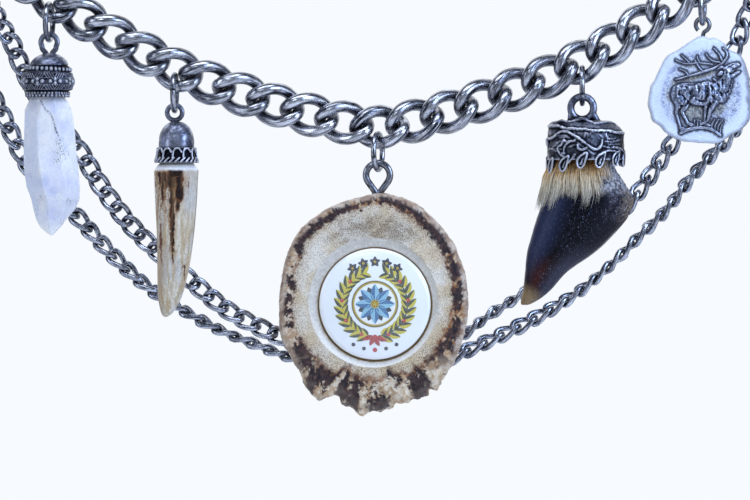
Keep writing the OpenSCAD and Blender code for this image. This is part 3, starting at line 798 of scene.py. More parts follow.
def eye_loop(shape, charm, radius, thickness, foot, foot_depth, legs=0.0):
    """A soldered wire loop that faces the viewer, closed over a neck of solder, or standing on two legs."""
    middle = pivot(charm) + eye_drop(radius, thickness) - charm_place(charm)
    loop = circle_path(middle, radius, 0, 360, 64)
    if legs:
        leg = np.array([[0.8, -0.85], [0.3 + 0.45 * legs, -1.25], [0.65 * legs, -1.65]]) * radius
        right, left = middle + facing(leg, 0), middle + facing(leg * [-1, 1], 0)
        loop = curve(np.vstack([right[::-1], circle_path(middle, radius, -28, 236, 24), left]), 72)
    points, faces, grain = wire(loop, thickness / 2, 16, not legs)
    low = smooth(0.2, -0.9, (points[:, 2] - middle[2]) / radius)
    across = np.hypot(points[:, 0] - middle[0], points[:, 2] - middle[2])
    inner = smooth(radius, radius - thickness / 2, across)
    shape.add(points, faces, grain=grain, recess=np.clip(0.2 + 0.5 * inner + 0.25 * low, 0, 0.9))
    if legs:
        return
    base = middle[2] - radius - thickness / 2
    rows = [(base + foot_depth * (1.6 * t - 1), foot * (1 + 0.8 * (1 - t) ** 3), 0)
            for t in np.linspace(0, 1, 8)]
    rows.append((rows[-1][0], 0.02, 0))
    points, faces, grain = lathe(rows, 32)
    shape.add(points + [middle[0], middle[1], 0], faces, grain=grain, recess=0.55)


# Quartz charm, measured down from its place below the ring
CAP_AXIS = -0.93
CAP_ROWS = [
    (-2.28, 0.05, -0.5), (-2.3, 0.5, -0.5), (-2.45, 1.4, -0.5), (-2.8, 2.3, -0.5), (-3.3, 3.1, -0.52),
    (-3.9, 3.7, -0.55), (-4.5, 4.05, -0.58), (-4.9, 4.2, -0.6), (-5.0, 4.1, -0.65), (-5.1, 4.1, -0.7),
    (-5.2, 4.55, -0.7), (-5.5, 4.75, -0.8), (-6.0, 4.8, -0.85), (-6.3, 4.7, CAP_AXIS),
    (-6.4, 4.75, CAP_AXIS), (-6.6, 5.2, CAP_AXIS)]
# Its barrel: top z, bottom z, radius, bulge; and the strokes round each strip
CAP_BARREL = (-6.6, -10.3, 5.2, 0.36)
STROKES = 60
CAP_RIM_ROWS = [
    (-10.3, 5.2, CAP_AXIS), (-10.45, 4.75, CAP_AXIS), (-10.6, 4.6, CAP_AXIS), (-11.6, 4.55, CAP_AXIS),
    (-11.85, 4.5, CAP_AXIS), (-11.85, 4.1, CAP_AXIS), (-9.4, 4.05, CAP_AXIS)]
# Rows of beads: z at the middle, radius, axis, size, count, how much lower its right side is
BEAD_ROWS = [
    (-5.72, 4.8, -0.8, 0.48, 31, 0.22), (-10.95, 4.62, CAP_AXIS, 0.32, 38, 0.05),
    (-11.5, 4.56, CAP_AXIS, 0.37, 33, 0.05)]
FLOWERS_ROUND = 9
# One flower of the barrel: place along and up from its middle, size
FLOWER = [
    (0, 0.4, 0.42), (0, -0.4, 0.42), (0, 0.72, 0.26), (0, -0.72, 0.26), (1.08, 0, 0.52),
    (-1.08, 0, 0.44), (0.55, 0.66, 0.15), (-0.55, 0.66, 0.15), (0.55, -0.66, 0.15),
    (-0.55, -0.66, 0.15)]


def around_cap(angle, radius, z, axis=CAP_AXIS):
    return np.stack([axis + radius * np.cos(angle), radius * np.sin(angle), z + 0 * angle], -1)


def barrel_radius(z):
    top, bottom, radius, bulge = CAP_BARREL
    return radius + bulge * np.sin(np.pi * np.clip((z - top) / (bottom - top), 0, 1))


def cap_shell(shape):
    """The cap's turned form: its dome, its bulging barrel and its rim."""
    rows = [(z, barrel_radius(z), CAP_AXIS) for z in np.linspace(*CAP_BARREL[:2], 30)]
    for part in (CAP_ROWS, rows, CAP_RIM_ROWS):
        fine = resample(np.array(part), 60, False)
        points, faces, grain = lathe(fine, 96,
                                     lambda a, z: 0.04 * np.sin(3 * a + z) * np.sin(5 * a - 2 * z))
        z = points[:, 2]
        bright = 0.3 * smooth(1.1, 0.6, np.abs(z + 8.45)) + 0.6 * smooth(0.28, 0.12, np.abs(z + 6.4))
        bright = bright + 0.3 * smooth(-10.5, -10.8, z)
        shape.add(points, faces, grain=grain, recess=smooth(-4.75, -5.05, z) * (0.97 - bright))


def cap_strips(shape):
    """Strips of slanting strokes, four one way and four the other, above and below the flowers."""
    for z0, z1 in ((-6.75, -7.66), (-9.24, -10.12)):
        for k in range(STROKES):
            lean = 0.62 if (k // 4) % 2 else -0.62
            t = np.linspace(-0.5, 0.5, 5)
            z = (z0 + z1) / 2 + (z1 - z0) * t
            a = 2 * np.pi * (k + 0.5) / STROKES + lean * t / CAP_BARREL[2]
            points, faces, grain = wire(around_cap(a, barrel_radius(z) + 0.06, z), 0.115, 6)
            out = np.hypot(points[:, 0] - CAP_AXIS, points[:, 1]) - barrel_radius(points[:, 2])
            shape.add(points, faces, grain=grain, recess=np.clip(0.8 - out * 5, 0, 0.97),
                      polish=0.35 * smooth(0.1, 0.18, out))
    for z, thick in ((-6.68, 0.13), (-7.7, 0.1), (-9.2, 0.1), (-10.2, 0.13)):
        ring = around_cap(once_round(120), barrel_radius(z), z)
        points, faces, grain = wire(ring, thick, 8, True)
        shape.add(points, faces, grain=grain, recess=0.45)


def cap_flowers(shape):
    top, bottom, radius, bulge = CAP_BARREL
    middle_z, middle_r = (top + bottom) / 2, radius + bulge
    for k in range(FLOWERS_ROUND):
        for along, up, size in FLOWER:
            a = 2 * np.pi * (k + 0.22) / FLOWERS_ROUND + along / middle_r
            middle = around_cap(a, middle_r - 0.02, middle_z + up)
            points, faces = ball(middle, size)
            out = (np.hypot(points[:, 0] - CAP_AXIS, points[:, 1]) - middle_r) / size
            shape.add(points, faces, grain=points, recess=np.clip(0.6 - 1.4 * out, 0, 0.95),
                      polish=smooth(0.4, 0.9, out))


def cap_beads(shape):
    draw = np.random.default_rng(SEED + 3)
    for z, r, axis, size, count, drop in BEAD_ROWS:
        for k in range(count):
            a = 2 * np.pi * (k + draw.uniform(-0.08, 0.08)) / count
            middle = around_cap(a, r, z - drop * np.cos(a), axis)
            points, faces = ball((0, 0, 0), 1.0)
            points = np.sign(points) * np.abs(points) ** 0.9 * [0.9 * size, 0.88 * size, size]
            points = turned_xy(points, a) * draw.uniform(0.92, 1.05) + middle
            out = (np.hypot(points[:, 0] - axis, points[:, 1]) - r) / size
            shape.add(points, faces, grain=points, recess=np.clip(0.75 - 1.2 * out, 0, 0.97),
                      polish=0.8 * smooth(0.3, 0.9, out))


def quartz_cap():
    shape = Shape()
    eye_loop(shape, "crystal", 1.76, 1.15, 0.75, 0.55, 0.35)
    for make in (cap_shell, cap_strips, cap_flowers, cap_beads):
        make(shape)
    charm_piece("quartz_cap_cast", shape, CAP_SILVER, "crystal", "crystal_cap")


# The quartz point: z, left x, right x, and how far its corners turn
QUARTZ_ROWS = [
    (-9.4, -4.3, 2.4, 0), (-11.9, -4.55, 2.75, 0), (-12.8, -5.0, 3.6, 2), (-14.6, -5.85, 4.45, 4),
    (-19, -6.0, 5.0, 5), (-24.4, -6.15, 5.4, 8), (-28, -6.05, 5.85, 10), (-31.3, -5.6, 6.1, 12),
    (-34.0, -4.75, 6.0, 16), (-35.9, -4.4, 5.3, 20), (-38.2, -3.8, 3.2, 26), (-39.8, -2.9, 2.0, 30),
    (-41.1, -1.4, 0.8, 34), (-41.7, -0.3, 0.3, 34)]
QUARTZ_CORNERS = [
    (-0.5, 0.85), (0.45, 0.9), (1, 0.35), (0.95, -0.5), (0.3, -0.95), (-0.55, -0.85), (-1, 0.1)]
# What shows inside it, at x and z on its front: a fine dark seam, clusters of specks, blue smoke
# and white veils
QUARTZ_SEAM = [
    (-2.3, -12.6), (-1.9, -13.5), (-1.2, -14.6), (-0.3, -15.4), (0.35, -16.6), (0.7, -17.6),
    (0.9, -18.8), (1.5, -20.2)]
QUARTZ_SPECKS = [
    (1.7, -21.6, 1.1, 0.9), (1.9, -23.4, 1.7, 1.0), (3.0, -24.2, 1.2, 0.7), (1.4, -25.4, 1.4, 0.8),
    (3.8, -34.5, 0.9, 1.0), (-2.2, -33.9, 1.2, 0.6), (-3.4, -36.4, 1.1, 0.5), (-2.8, -15.6, 0.9, 0.35),
    (-2.6, -21.8, 0.8, 0.3), (-4.4, -29.0, 1.0, 0.35)]
QUARTZ_SMOKE = [
    (-1.9, -30.2, 1.9, 0.8), (0.4, -32.0, 1.3, 0.7), (3.6, -30.6, 1.4, 0.45), (0.4, -37.0, 2.0, 0.5),
    (0.4, -13.6, 2.2, 0.75), (-3.0, -19.0, 2.0, 0.3), (2.6, -17.8, 1.4, 0.4)]
QUARTZ_VEILS = [
    (1.2, -33.8, 3.4, 0.35, 1.0), (-4.5, -14.6, 0.5, 1.8, 0.8), (-5.2, -24, 0.5, 7, 0.5),
    (2.9, -15.8, 0.4, 2.6, 0.7), (4.4, -27, 0.7, 6, 0.5), (-2.4, -26, 0.5, 5, 0.5),
    (1.6, -33.0, 0.9, 0.8, 1.0)]


# Flat cuts across the quartz: a point on each, the way it faces, how much of the cut is made
QUARTZ_CUTS = [
    ((-4.6, -1.8, -14.5), (-0.8, -0.75, 0.35), 1), ((0.2, -4.3, -14.0), (0.1, -1, 0.42), 1),
    ((4.0, -2.4, -15.5), (0.85, -0.6, 0.3), 1), ((-3.0, -4.6, -27), (-0.45, -1, 0.0), 1),
    ((3.4, -4.4, -24), (0.5, -1, 0.04), 1), ((0.6, -4.4, -35.0), (0.15, -1, -0.5), 1),
    ((-4.1, -2.7, -37.4), (-0.8, -0.6, -0.35), 0.9), ((4.3, -2.0, -35.0), (0.8, -0.6, -0.6), 0.9),
    ((1.0, 4.6, -25), (0.2, 1, 0.05), 0.8), ((-2.5, 4.4, -18), (-0.5, 1, 0.1), 0.8)]
# Height of its rows of points, and how deep it is against its width
QUARTZ_STEP = 0.2
QUARTZ_DEPTH = 0.88
# Farther than any mark reaches, as a start for the nearest distance
FAR_AWAY = 9.0


def quartz_form():
    """The rough prism: a rounded seven-sided plan along its rows, with flat cuts and unevenness."""
    corners = np.array(QUARTZ_CORNERS)
    rows = np.array(QUARTZ_ROWS)
    rounding = 0.045
    plan = []
    for k in range(len(corners)):
        a, b, c = corners[k - 1], corners[k], corners[(k + 1) % len(corners)]
        before, after = mix(b, a, rounding), mix(b, c, rounding)
        for t in np.linspace(0, 1, 5):
            plan.append((1 - t) ** 2 * before + 2 * t * (1 - t) * b + t * t * after)
        plan += [mix(b, c, t) for t in np.linspace(rounding, 1 - rounding, 22)[1:-1]]
    plan = np.array(plan)
    steps = [np.linspace(a, b, max(3, int((a - b) / QUARTZ_STEP)), endpoint=False)
             for a, b in zip(rows[:-1, 0], rows[1:, 0])]
    z = np.concatenate(steps + [[rows[-1, 0]]])
    lefts, rights, twists = (np.interp(-z, -rows[:, 0], rows[:, k]) for k in (1, 2, 3))
    points = []
    for height, left, right, twist in zip(z, lefts, rights, np.radians(twists)):
        c, s = np.cos(twist), np.sin(twist)
        turn = np.stack([plan[:, 0] * c - plan[:, 1] * s, plan[:, 0] * s + plan[:, 1] * c], 1)
        lean = np.where(turn[:, 1] < 0, 0.06 * np.sin(height * 0.35), -0.05 * np.cos(height * 0.3))
        turn = turn / np.abs(turn[:, 0]).max()
        half = (right - left) / 2
        points.append(np.stack([(left + right) / 2 + half * turn[:, 0],
                                half * QUARTZ_DEPTH * turn[:, 1] * (1 + lean),
                                np.full(len(plan), height)], 1))
    points = np.concatenate(points)
    below = smooth(-12.0, -13.2, points[:, 2])
    for middle, way, depth in QUARTZ_CUTS:
        way = unit(np.array(way, float))
        over = (points - middle) @ way
        points = points - np.maximum(over, 0)[:, None] * way * (below * depth)[:, None]
    chips = 0.16 * (noise(points * [0.4, 0.4, 0.2], 3) - 0.5) + 0.05 * (noise(points * 1.7, 3) - 0.5)
    points = points + (chips * below)[:, None] * unit(points * [1, 1, 0] + 1e-6)
    return points, tube_faces(len(z), len(plan), True)


def quartz_marks(points):
    """What shows inside the quartz: its colour, specks and dark seam."""
    x, height = points[:, 0], points[:, 2]
    front = smooth(1.5, -0.5, points[:, 1])
    wander = 0.25 * (noise(points * 1.4 + 7, 3) - 0.5)
    seam = np.full(len(points), FAR_AWAY)
    for place in curve(np.array(QUARTZ_SEAM), 160):
        seam = np.minimum(seam, np.hypot(x + wander - place[0], height - place[1]))
    seam = smooth(0.26, 0.06, seam) * front
    speck, smoke, veil = (np.zeros(len(points)) for _ in range(3))
    for sx, sz, reach, strength in QUARTZ_SPECKS:
        away = np.hypot(x - sx, (height - sz) * 0.8)
        speck = np.maximum(speck, strength * smooth(reach * 1.3, 0.1, away) * front)
    for sx, sz, reach, strength in QUARTZ_SMOKE:
        away = np.hypot(x - sx + 3 * wander, height - sz + 4 * wander)
        smoke = np.maximum(smoke, strength * smooth(reach * 1.3, 0.2, away) * front)
    for sx, sz, wide, tall, strength in QUARTZ_VEILS:
        away = np.hypot((x - sx + wander) / wide, (height - sz + 2 * wander) / tall)
        veil = np.maximum(veil, strength * smooth(1.2, 0.2, away) * front)
    cloud = noise(points * [0.3, 0.3, 0.16] + 9, 4)
    paint = mix(srgb(230, 234, 255), srgb(244, 246, 255), smooth(0.36, 0.6, cloud))
    paint = mix(paint, srgb(188, 198, 238), smoke * 0.8)
    paint = mix(paint, srgb(243, 246, 255), veil * 0.8)
    return mix(paint, srgb(208, 220, 255), 0.55 * smooth(-2.2, -3.4, x)), speck, seam


def quartz_look():
    look = Look("quartz_look")
    veils = look.noise(look.place((0.5, 0.5, 0.14)), 5, 0.6, 2.0)
    grain = look.noise(look.place((2.6, 2.6, 2.0)), 4, 0.6)
    dots = look.noise(look.place((4.2, 4.2, 3.2)), 2, 0.6)
    crack = look.noise(look.place((0.9, 0.9, 0.45)), 5, 0.7, 1.5)
    tone = look.mixed(look.ramp(veils, (0.5, 0.0), (0.68, 0.5)), look.colour("paint"), srgb(250, 251, 255))
    line = look.ramp(crack, (0.486, 0.0), (0.5, 0.5), (0.514, 0.0))
    tone = look.mixed(line, tone, srgb(130, 142, 186))
    marked = look.maths("MULTIPLY", look.value("speck"), look.ramp(dots, (0.53, 0.0), (0.58, 0.85)))
    tone = look.mixed(marked, tone, srgb(70, 60, 84))
    seamed = look.maths("MULTIPLY", look.value("seam"), look.ramp(dots, (0.42, 0.15), (0.52, 0.95)))
    tone = look.mixed(seamed, tone, srgb(30, 30, 52))
    normal = look.bump(grain, 0.3, 0.07)
    normal = look.bump(crack, 0.4, 0.25, normal)
    return look.finish(Base_Color=tone, Roughness=look.ramp(grain, (0.3, 0.3), (0.7, 0.12)), IOR=1.5,
                       Transmission_Weight=0.06, Subsurface_Weight=0.4, Subsurface_Scale=1.0,
                       Subsurface_Radius=(2.6 * MM, 2.6 * MM, 2.6 * MM), Normal=normal)


def quartz_point():
    points, faces = quartz_form()
    paint, speck, seam = quartz_marks(points)
    shape = Shape().add(points, faces, speck=speck, seam=seam, paint=paint)
    charm_piece("quartz_point_rough", shape, quartz_look(), "crystal", "crystal_point")


# The bell cap of the antler tip
BELL_ROWS = [
    (-1.95, 0.05, 0), (-1.98, 0.9, 0), (-2.12, 1.5, 0), (-2.4, 2.0, 0), (-2.85, 2.55, 0),
    (-3.45, 3.05, 0), (-4.3, 3.48, 0), (-5.2, 3.72, 0), (-6.2, 3.83, 0), (-7.0, 3.86, 0),
    (-7.3, 3.84, 0), (-7.5, 3.8, 0), (-8.4, 3.85, 0), (-9.6, 4.05, 0), (-10.3, 4.3, 0),
    (-10.75, 4.4, 0), (-10.85, 3.9, 0), (-8.6, 3.85, 0)]
BELL_ARCHES = 12
BELL_TOP, BELL_BASE = -7.72, -10.05


def bell_radius(z):
    """How far out the bell's ornamented band is."""
    return np.interp(-z, [7.5, 9.6, 10.4], [4.05, 4.38, 4.6])


def bell_cap():
    shape = Shape()
    eye_loop(shape, "antler_tip", 1.63, 1.05, 0.7, 0.5)
    points, faces, grain = lathe(resample(np.array(BELL_ROWS), 90, False), 96,
                                 lambda a, z: 0.03 * np.sin(4 * a + z) * np.sin(3 * a - z))
    band = smooth(-7.2, -7.6, points[:, 2]) * 0.98
    neck = 0.85 * smooth(1.9, 1.2, np.hypot(points[:, 0], points[:, 1])) * (points[:, 2] > -3)
    shape.add(points, faces, grain=grain, recess=np.maximum(band, neck))
    step = 2 * np.pi / BELL_ARCHES

    def lay_wire(a, z, out, thick):
        r = bell_radius(z) + out
        points, faces, grain = wire(np.stack([r * np.cos(a), r * np.sin(a), z], -1), thick, 10)
        raised = np.hypot(points[:, 0], points[:, 1]) - bell_radius(points[:, 2])
        shape.add(points, faces, grain=grain, recess=np.clip(0.2 - 2.2 * raised, 0, 0.9),
                  polish=0.8 * smooth(0.05, 0.22, raised))

    for k in range(BELL_ARCHES):
        # Each arch is a cane: its left leg reaches the rope, its right leg ends halfway down
        t = np.linspace(0, 1, 26)
        a = step * (k + 0.1) - step * 0.43 * np.cos(np.pi * t)
        z = BELL_BASE + (BELL_TOP - BELL_BASE) * np.sin(np.pi * np.clip(t, 0, 0.86)) ** 0.5
        lay_wire(a, z, 0.05, 0.23)
        for lean in (0.1, 0.6):
            t = np.linspace(-1, 1, 8)
            lay_wire(step * (k + lean + 0.2 * t), -10.22 + 0.42 * t, 0.04, 0.22)
    for z, r, thick in ((-10.72, 4.5, 0.13), (-7.62, 4.0, 0.1)):
        points, faces, grain = wire(circle_path((0, 0, z), r, 0, 360, 96, "xy"), thick, 8, True)
        shape.add(points, faces, grain=grain, recess=0.3)
    charm_piece("bell_cap_cast", shape, CAP_SILVER, "antler_tip", "antler_tip_cap")


# The antler tip: z, left x, right x
TIP_ROWS = [
    (-8.6, -3.5, 3.5), (-11.1, -3.7, 3.7), (-11.35, -4.1, 3.95), (-12.3, -4.7, 4.7),
    (-12.7, -4.85, 4.75), (-15.5, -4.75, 4.6), (-18.2, -4.65, 4.45), (-25.1, -4.3, 3.9),
    (-31.8, -4.15, 3.0), (-37.2, -4.1, 1.9), (-40.4, -3.95, 0.9), (-42.4, -3.55, -0.2),
    (-43.6, -3.15, -1.2), (-44.0, -2.9, -1.7), (-44.15, -2.6, -2.1)]
# Brown streaks down it: x, top z, bottom z, half width, strength
TIP_STREAKS = [
    (-0.85, -12.6, -33.5, 0.5, 1.0), (0.4, -12.6, -23.5, 0.5, 1.0), (-0.25, -12.3, -17.5, 1.5, 1.0),
    (0.7, -14.0, -20.5, 0.7, 0.9), (-0.7, -26.0, -34.5, 0.22, 0.8), (-2.9, -12.8, -22.0, 0.35, 0.55),
    (-3.7, -12.8, -16.5, 0.4, 0.5), (-2.2, -12.8, -18.0, 0.3, 0.5), (1.4, -13.2, -17.5, 0.2, 0.35),
    (-3.3, -24.0, -37.0, 0.3, 0.35), (1.7, -33.0, -37.5, 0.2, 0.45), (-1.2, -20.0, -27.0, 0.25, 0.45),
    (2.6, -14.0, -18.0, 0.12, 0.35)]


TIP_DEPTH = 0.95
TIP_SIDES = 128


def level_ovals(rows, z):
    """Level ovals through rows of z, left and right."""
    left, right = (np.interp(-z, -rows[:, 0], rows[:, k])[:, None] for k in (1, 2))
    a = once_round(TIP_SIDES)[None]
    half = (right - left) / 2
    x = (left + right) / 2 + half * np.cos(a)
    y = half * TIP_DEPTH * np.sin(a)
    return np.stack([x, y, np.broadcast_to(z[:, None], x.shape)], -1).reshape(-1, 3)


def tip_paint(points, across_middle):
    """Colours of the polished tip: cream and grey, brown fibres and streaks, and how specked it is."""
    x, y, height = points.T
    cream, grey, tan = srgb(226, 219, 204), srgb(208, 206, 202), srgb(176, 140, 98)
    umber, dark = srgb(110, 62, 36), srgb(24, 11, 12)
    fibre = noise(points * [1.6, 1.6, 0.12] + 11, 4)
    fleck = noise(points * [2.6, 2.6, 0.7] + 23, 3)
    blotch = noise(points * [0.3, 0.3, 0.12] + 5, 3)
    paint = mix(cream, grey, smooth(0.38, 0.6, blotch))
    paint = mix(paint, srgb(196, 180, 150), 0.55 * smooth(0.5, 0.7, fibre))
    left = smooth(1.4, -3.2, x) * smooth(-30, -14, height)
    paint = mix(paint, tan, np.clip(left * smooth(0.36, 0.6, fibre) * 1.1, 0, 0.85))
    flecked = np.clip((0.25 + left) * smooth(0.56, 0.68, fleck), 0, 0.75)
    paint = mix(paint, umber, flecked * smooth(-36, -22, height))
    paint = mix(paint, srgb(190, 164, 124), 0.6 * smooth(0.42, 0.6, fibre) * smooth(-18, -30, height))
    paint = mix(paint, srgb(178, 146, 100), 0.6 * smooth(-1.6, -3.8, x) * smooth(-22, -34, height))
    ragged = 0.7 * (noise(points * [2.6, 2.6, 0.9] + 20, 5) - 0.5)
    for k, (sx, top, bottom, half, strength) in enumerate(TIP_STREAKS):
        across = np.abs(x + 1.5 * ragged - sx - 0.08 * np.sin(height * 0.7 + k * 2))
        run = smooth(top + 0.35, top - 0.15, height + ragged)
        run = run * smooth(bottom, mix(bottom, top, 0.55), height) * (y < 0) * strength
        mark = np.clip(smooth(half * 1.6, half * 0.35, across) * run * (1.0 + 0.3 * fleck), 0, 1)
        paint = mix(paint, tan, 0.5 * smooth(half * 3.2, half, across) * run)
        paint = mix(paint, mix(umber, dark, smooth(0.3, 0.6, mark)), smooth(0.15, 0.45, mark))
    back = smooth(0.5, 0.62, noise(points * [0.8, 0.8, 0.06] + 31, 3)) * (y > 0.5)
    paint = mix(paint, dark, back * 0.7)
    half = np.abs(x - across_middle)
    edge = half / np.maximum(half.reshape(-1, TIP_SIDES).max(1).repeat(TIP_SIDES), 0.1)
    shadow = smooth(0.93, 0.985, edge) * 0.8 * (x > across_middle) * smooth(-33, -26, height)
    paint = mix(paint, srgb(44, 40, 54), shadow)
    paint = mix(srgb(240, 242, 246), paint, smooth(-12.2, -12.7, height + 0.5 * ragged))
    paint = mix(srgb(150, 144, 128), paint, smooth(-11.0, -11.5, height))
    speck = 0.2 + 0.9 * left + 0.5 * smooth(1.2, -0.2, np.abs(x - 1.6)) * smooth(-22, -14, height)
    return paint, np.clip(speck, 0, 1)


def antler_tip():
    z = np.concatenate([np.linspace(-8.6, -12.7, 24, endpoint=False), np.linspace(-12.7, -44.15, 160)])
    rows = np.array(TIP_ROWS)
    lower = rows[:, 0] < -12.6
    points = level_ovals(np.vstack([rows[~lower], curve(rows[lower], 120)]), z)
    lines = noise(points * [1.1, 1.1, 0.09], 4) - 0.5
    below = smooth(-12.5, -13.2, points[:, 2])
    centre = np.repeat(points.reshape(-1, TIP_SIDES, 3).mean(1), TIP_SIDES, 0)
    points = points + (below * 0.22 * lines)[:, None] * unit(points - centre)
    y, height = points[:, 1], points[:, 2]
    paint, speck = tip_paint(points, centre[:, 0])
    freckles = 0.35 * smooth(-20, -28, height) * (y < 1)
    speck = np.maximum(speck * below * smooth(-40, -24, height), freckles)
    shape = Shape().add(points, tube_faces(len(z), TIP_SIDES, True), paint=paint, speck=speck)
    look = painted_look("antler_look", 0.4, (2.2, 2.2, 0.5), 0.25, 0.05, 0.06, 0.25, 0.06, specular=0.25)
    charm_piece("antler_tip_polished", shape, look, "antler_tip", "antler_tip")


quartz_cap()
quartz_point()
bell_cap()
antler_tip()

# Medallion, measured from its pivot under the jump ring
DISC_OUTLINE = [
    (-0.3, -5.2), (-7, -6.8), (-11.1, -8.6), (-16.5, -12.7), (-18.9, -16.8), (-20.4, -21.1),
    (-21.1, -25.9), (-21.3, -31.3), (-21.1, -35.4), (-19.5, -39), (-17.8, -42.3), (-16.4, -44.5),
    (-15.6, -46.8), (-14.3, -48.5), (-12.5, -49.7), (-10.8, -48.8), (-8.7, -48.8), (-7.8, -50.6),
    (-6.2, -51.1), (-4.6, -52), (-2.5, -52.2), (-0.3, -52.4), (1.4, -51.8), (3.1, -51), (3.7, -50),
    (6.6, -50.3), (7.2, -49.4), (9, -49.6), (10.7, -48.5), (10.9, -47.2), (12.4, -47.2), (13.7, -45.4),
    (15.2, -43.4), (16.4, -41.4), (18.1, -37.3), (19.1, -33.2), (19.5, -28.9), (19.1, -23.9),
    (17.8, -19.4), (15.9, -15.3), (12.9, -11.5), (8.5, -7.7), (4.2, -5.8)]
DISC_T = 7.2
DISC_FRONT = -DISC_T / 2
DISC_MIDDLE = np.array([-1, -28.6])
INSERT_MIDDLE = np.array([-0.65, -29.0])
COVE_MIDDLE = np.array([-1.0, -28.7])
INSERT_R = 12
INSERT_DOME = 1.3
INSERT_SECTORS = 160
SEAT_DEPTH = 2.05
# How wide the bark ring shows on the sawn face, at each angle round from the right
BARK_WIDTHS = [
    (-180, 3.0), (-160, 3.4), (-140, 4.6), (-125, 6.4), (-105, 7.4), (-90, 7.6), (-75, 7.0), (-60, 6.2),
    (-45, 5.6), (-25, 4.4), (0, 3.5), (30, 3.2), (60, 3.1), (75, 2.6), (90, 2.4), (120, 2.5),
    (150, 2.9), (180, 3.0)]


def outline_reach(outline, middle, angle):
    """How far an outline lies from a point inside it, at each angle."""
    away = curve(outline, 1600, True) - middle
    turn = np.arctan2(away[:, 1], away[:, 0])
    return np.interp(angle, turn, np.hypot(away[:, 0], away[:, 1]), period=2 * np.pi)


def sawn_points(middle, reach, angle, inner, face_rows, thickness, edge_rows=22, back_rows=12):
    """Rows of points over a sawn antler slice: its face from an inner ring out, its edge, its back.

    Gives the points, the outward direction at each, and the distance in from the outline."""
    ring = way_at(angle)
    rim = middle + ring * reach[:, None]
    rows, normals, inward = [], [], []

    def put(flat, y, out):
        rows.append(facing(flat, y))
        normals.append(facing(ring * np.sin(out), -np.cos(out)))
        inward.append(np.hypot(*(rim - flat).T))

    face_edge = middle + ring * (reach * 0.94)[:, None]
    for t in np.linspace(0, 1, face_rows):
        put(mix(inner, face_edge, t), -thickness / 2, 0)
    for u in np.linspace(-1, 1, edge_rows + 2)[1:-1]:
        out = np.pi * (u + 1) / 2
        scale = 1 - 0.06 * abs(u) ** 5
        put(middle + ring * (reach * scale)[:, None], thickness / 2 * np.sign(u) * abs(u) ** 0.8, out)
    for t in np.linspace(1, 0.002, back_rows):
        put(middle + ring * (reach * 0.94 * t)[:, None], thickness / 2, np.pi)
    return np.concatenate(rows), np.concatenate(normals), np.concatenate(inward)


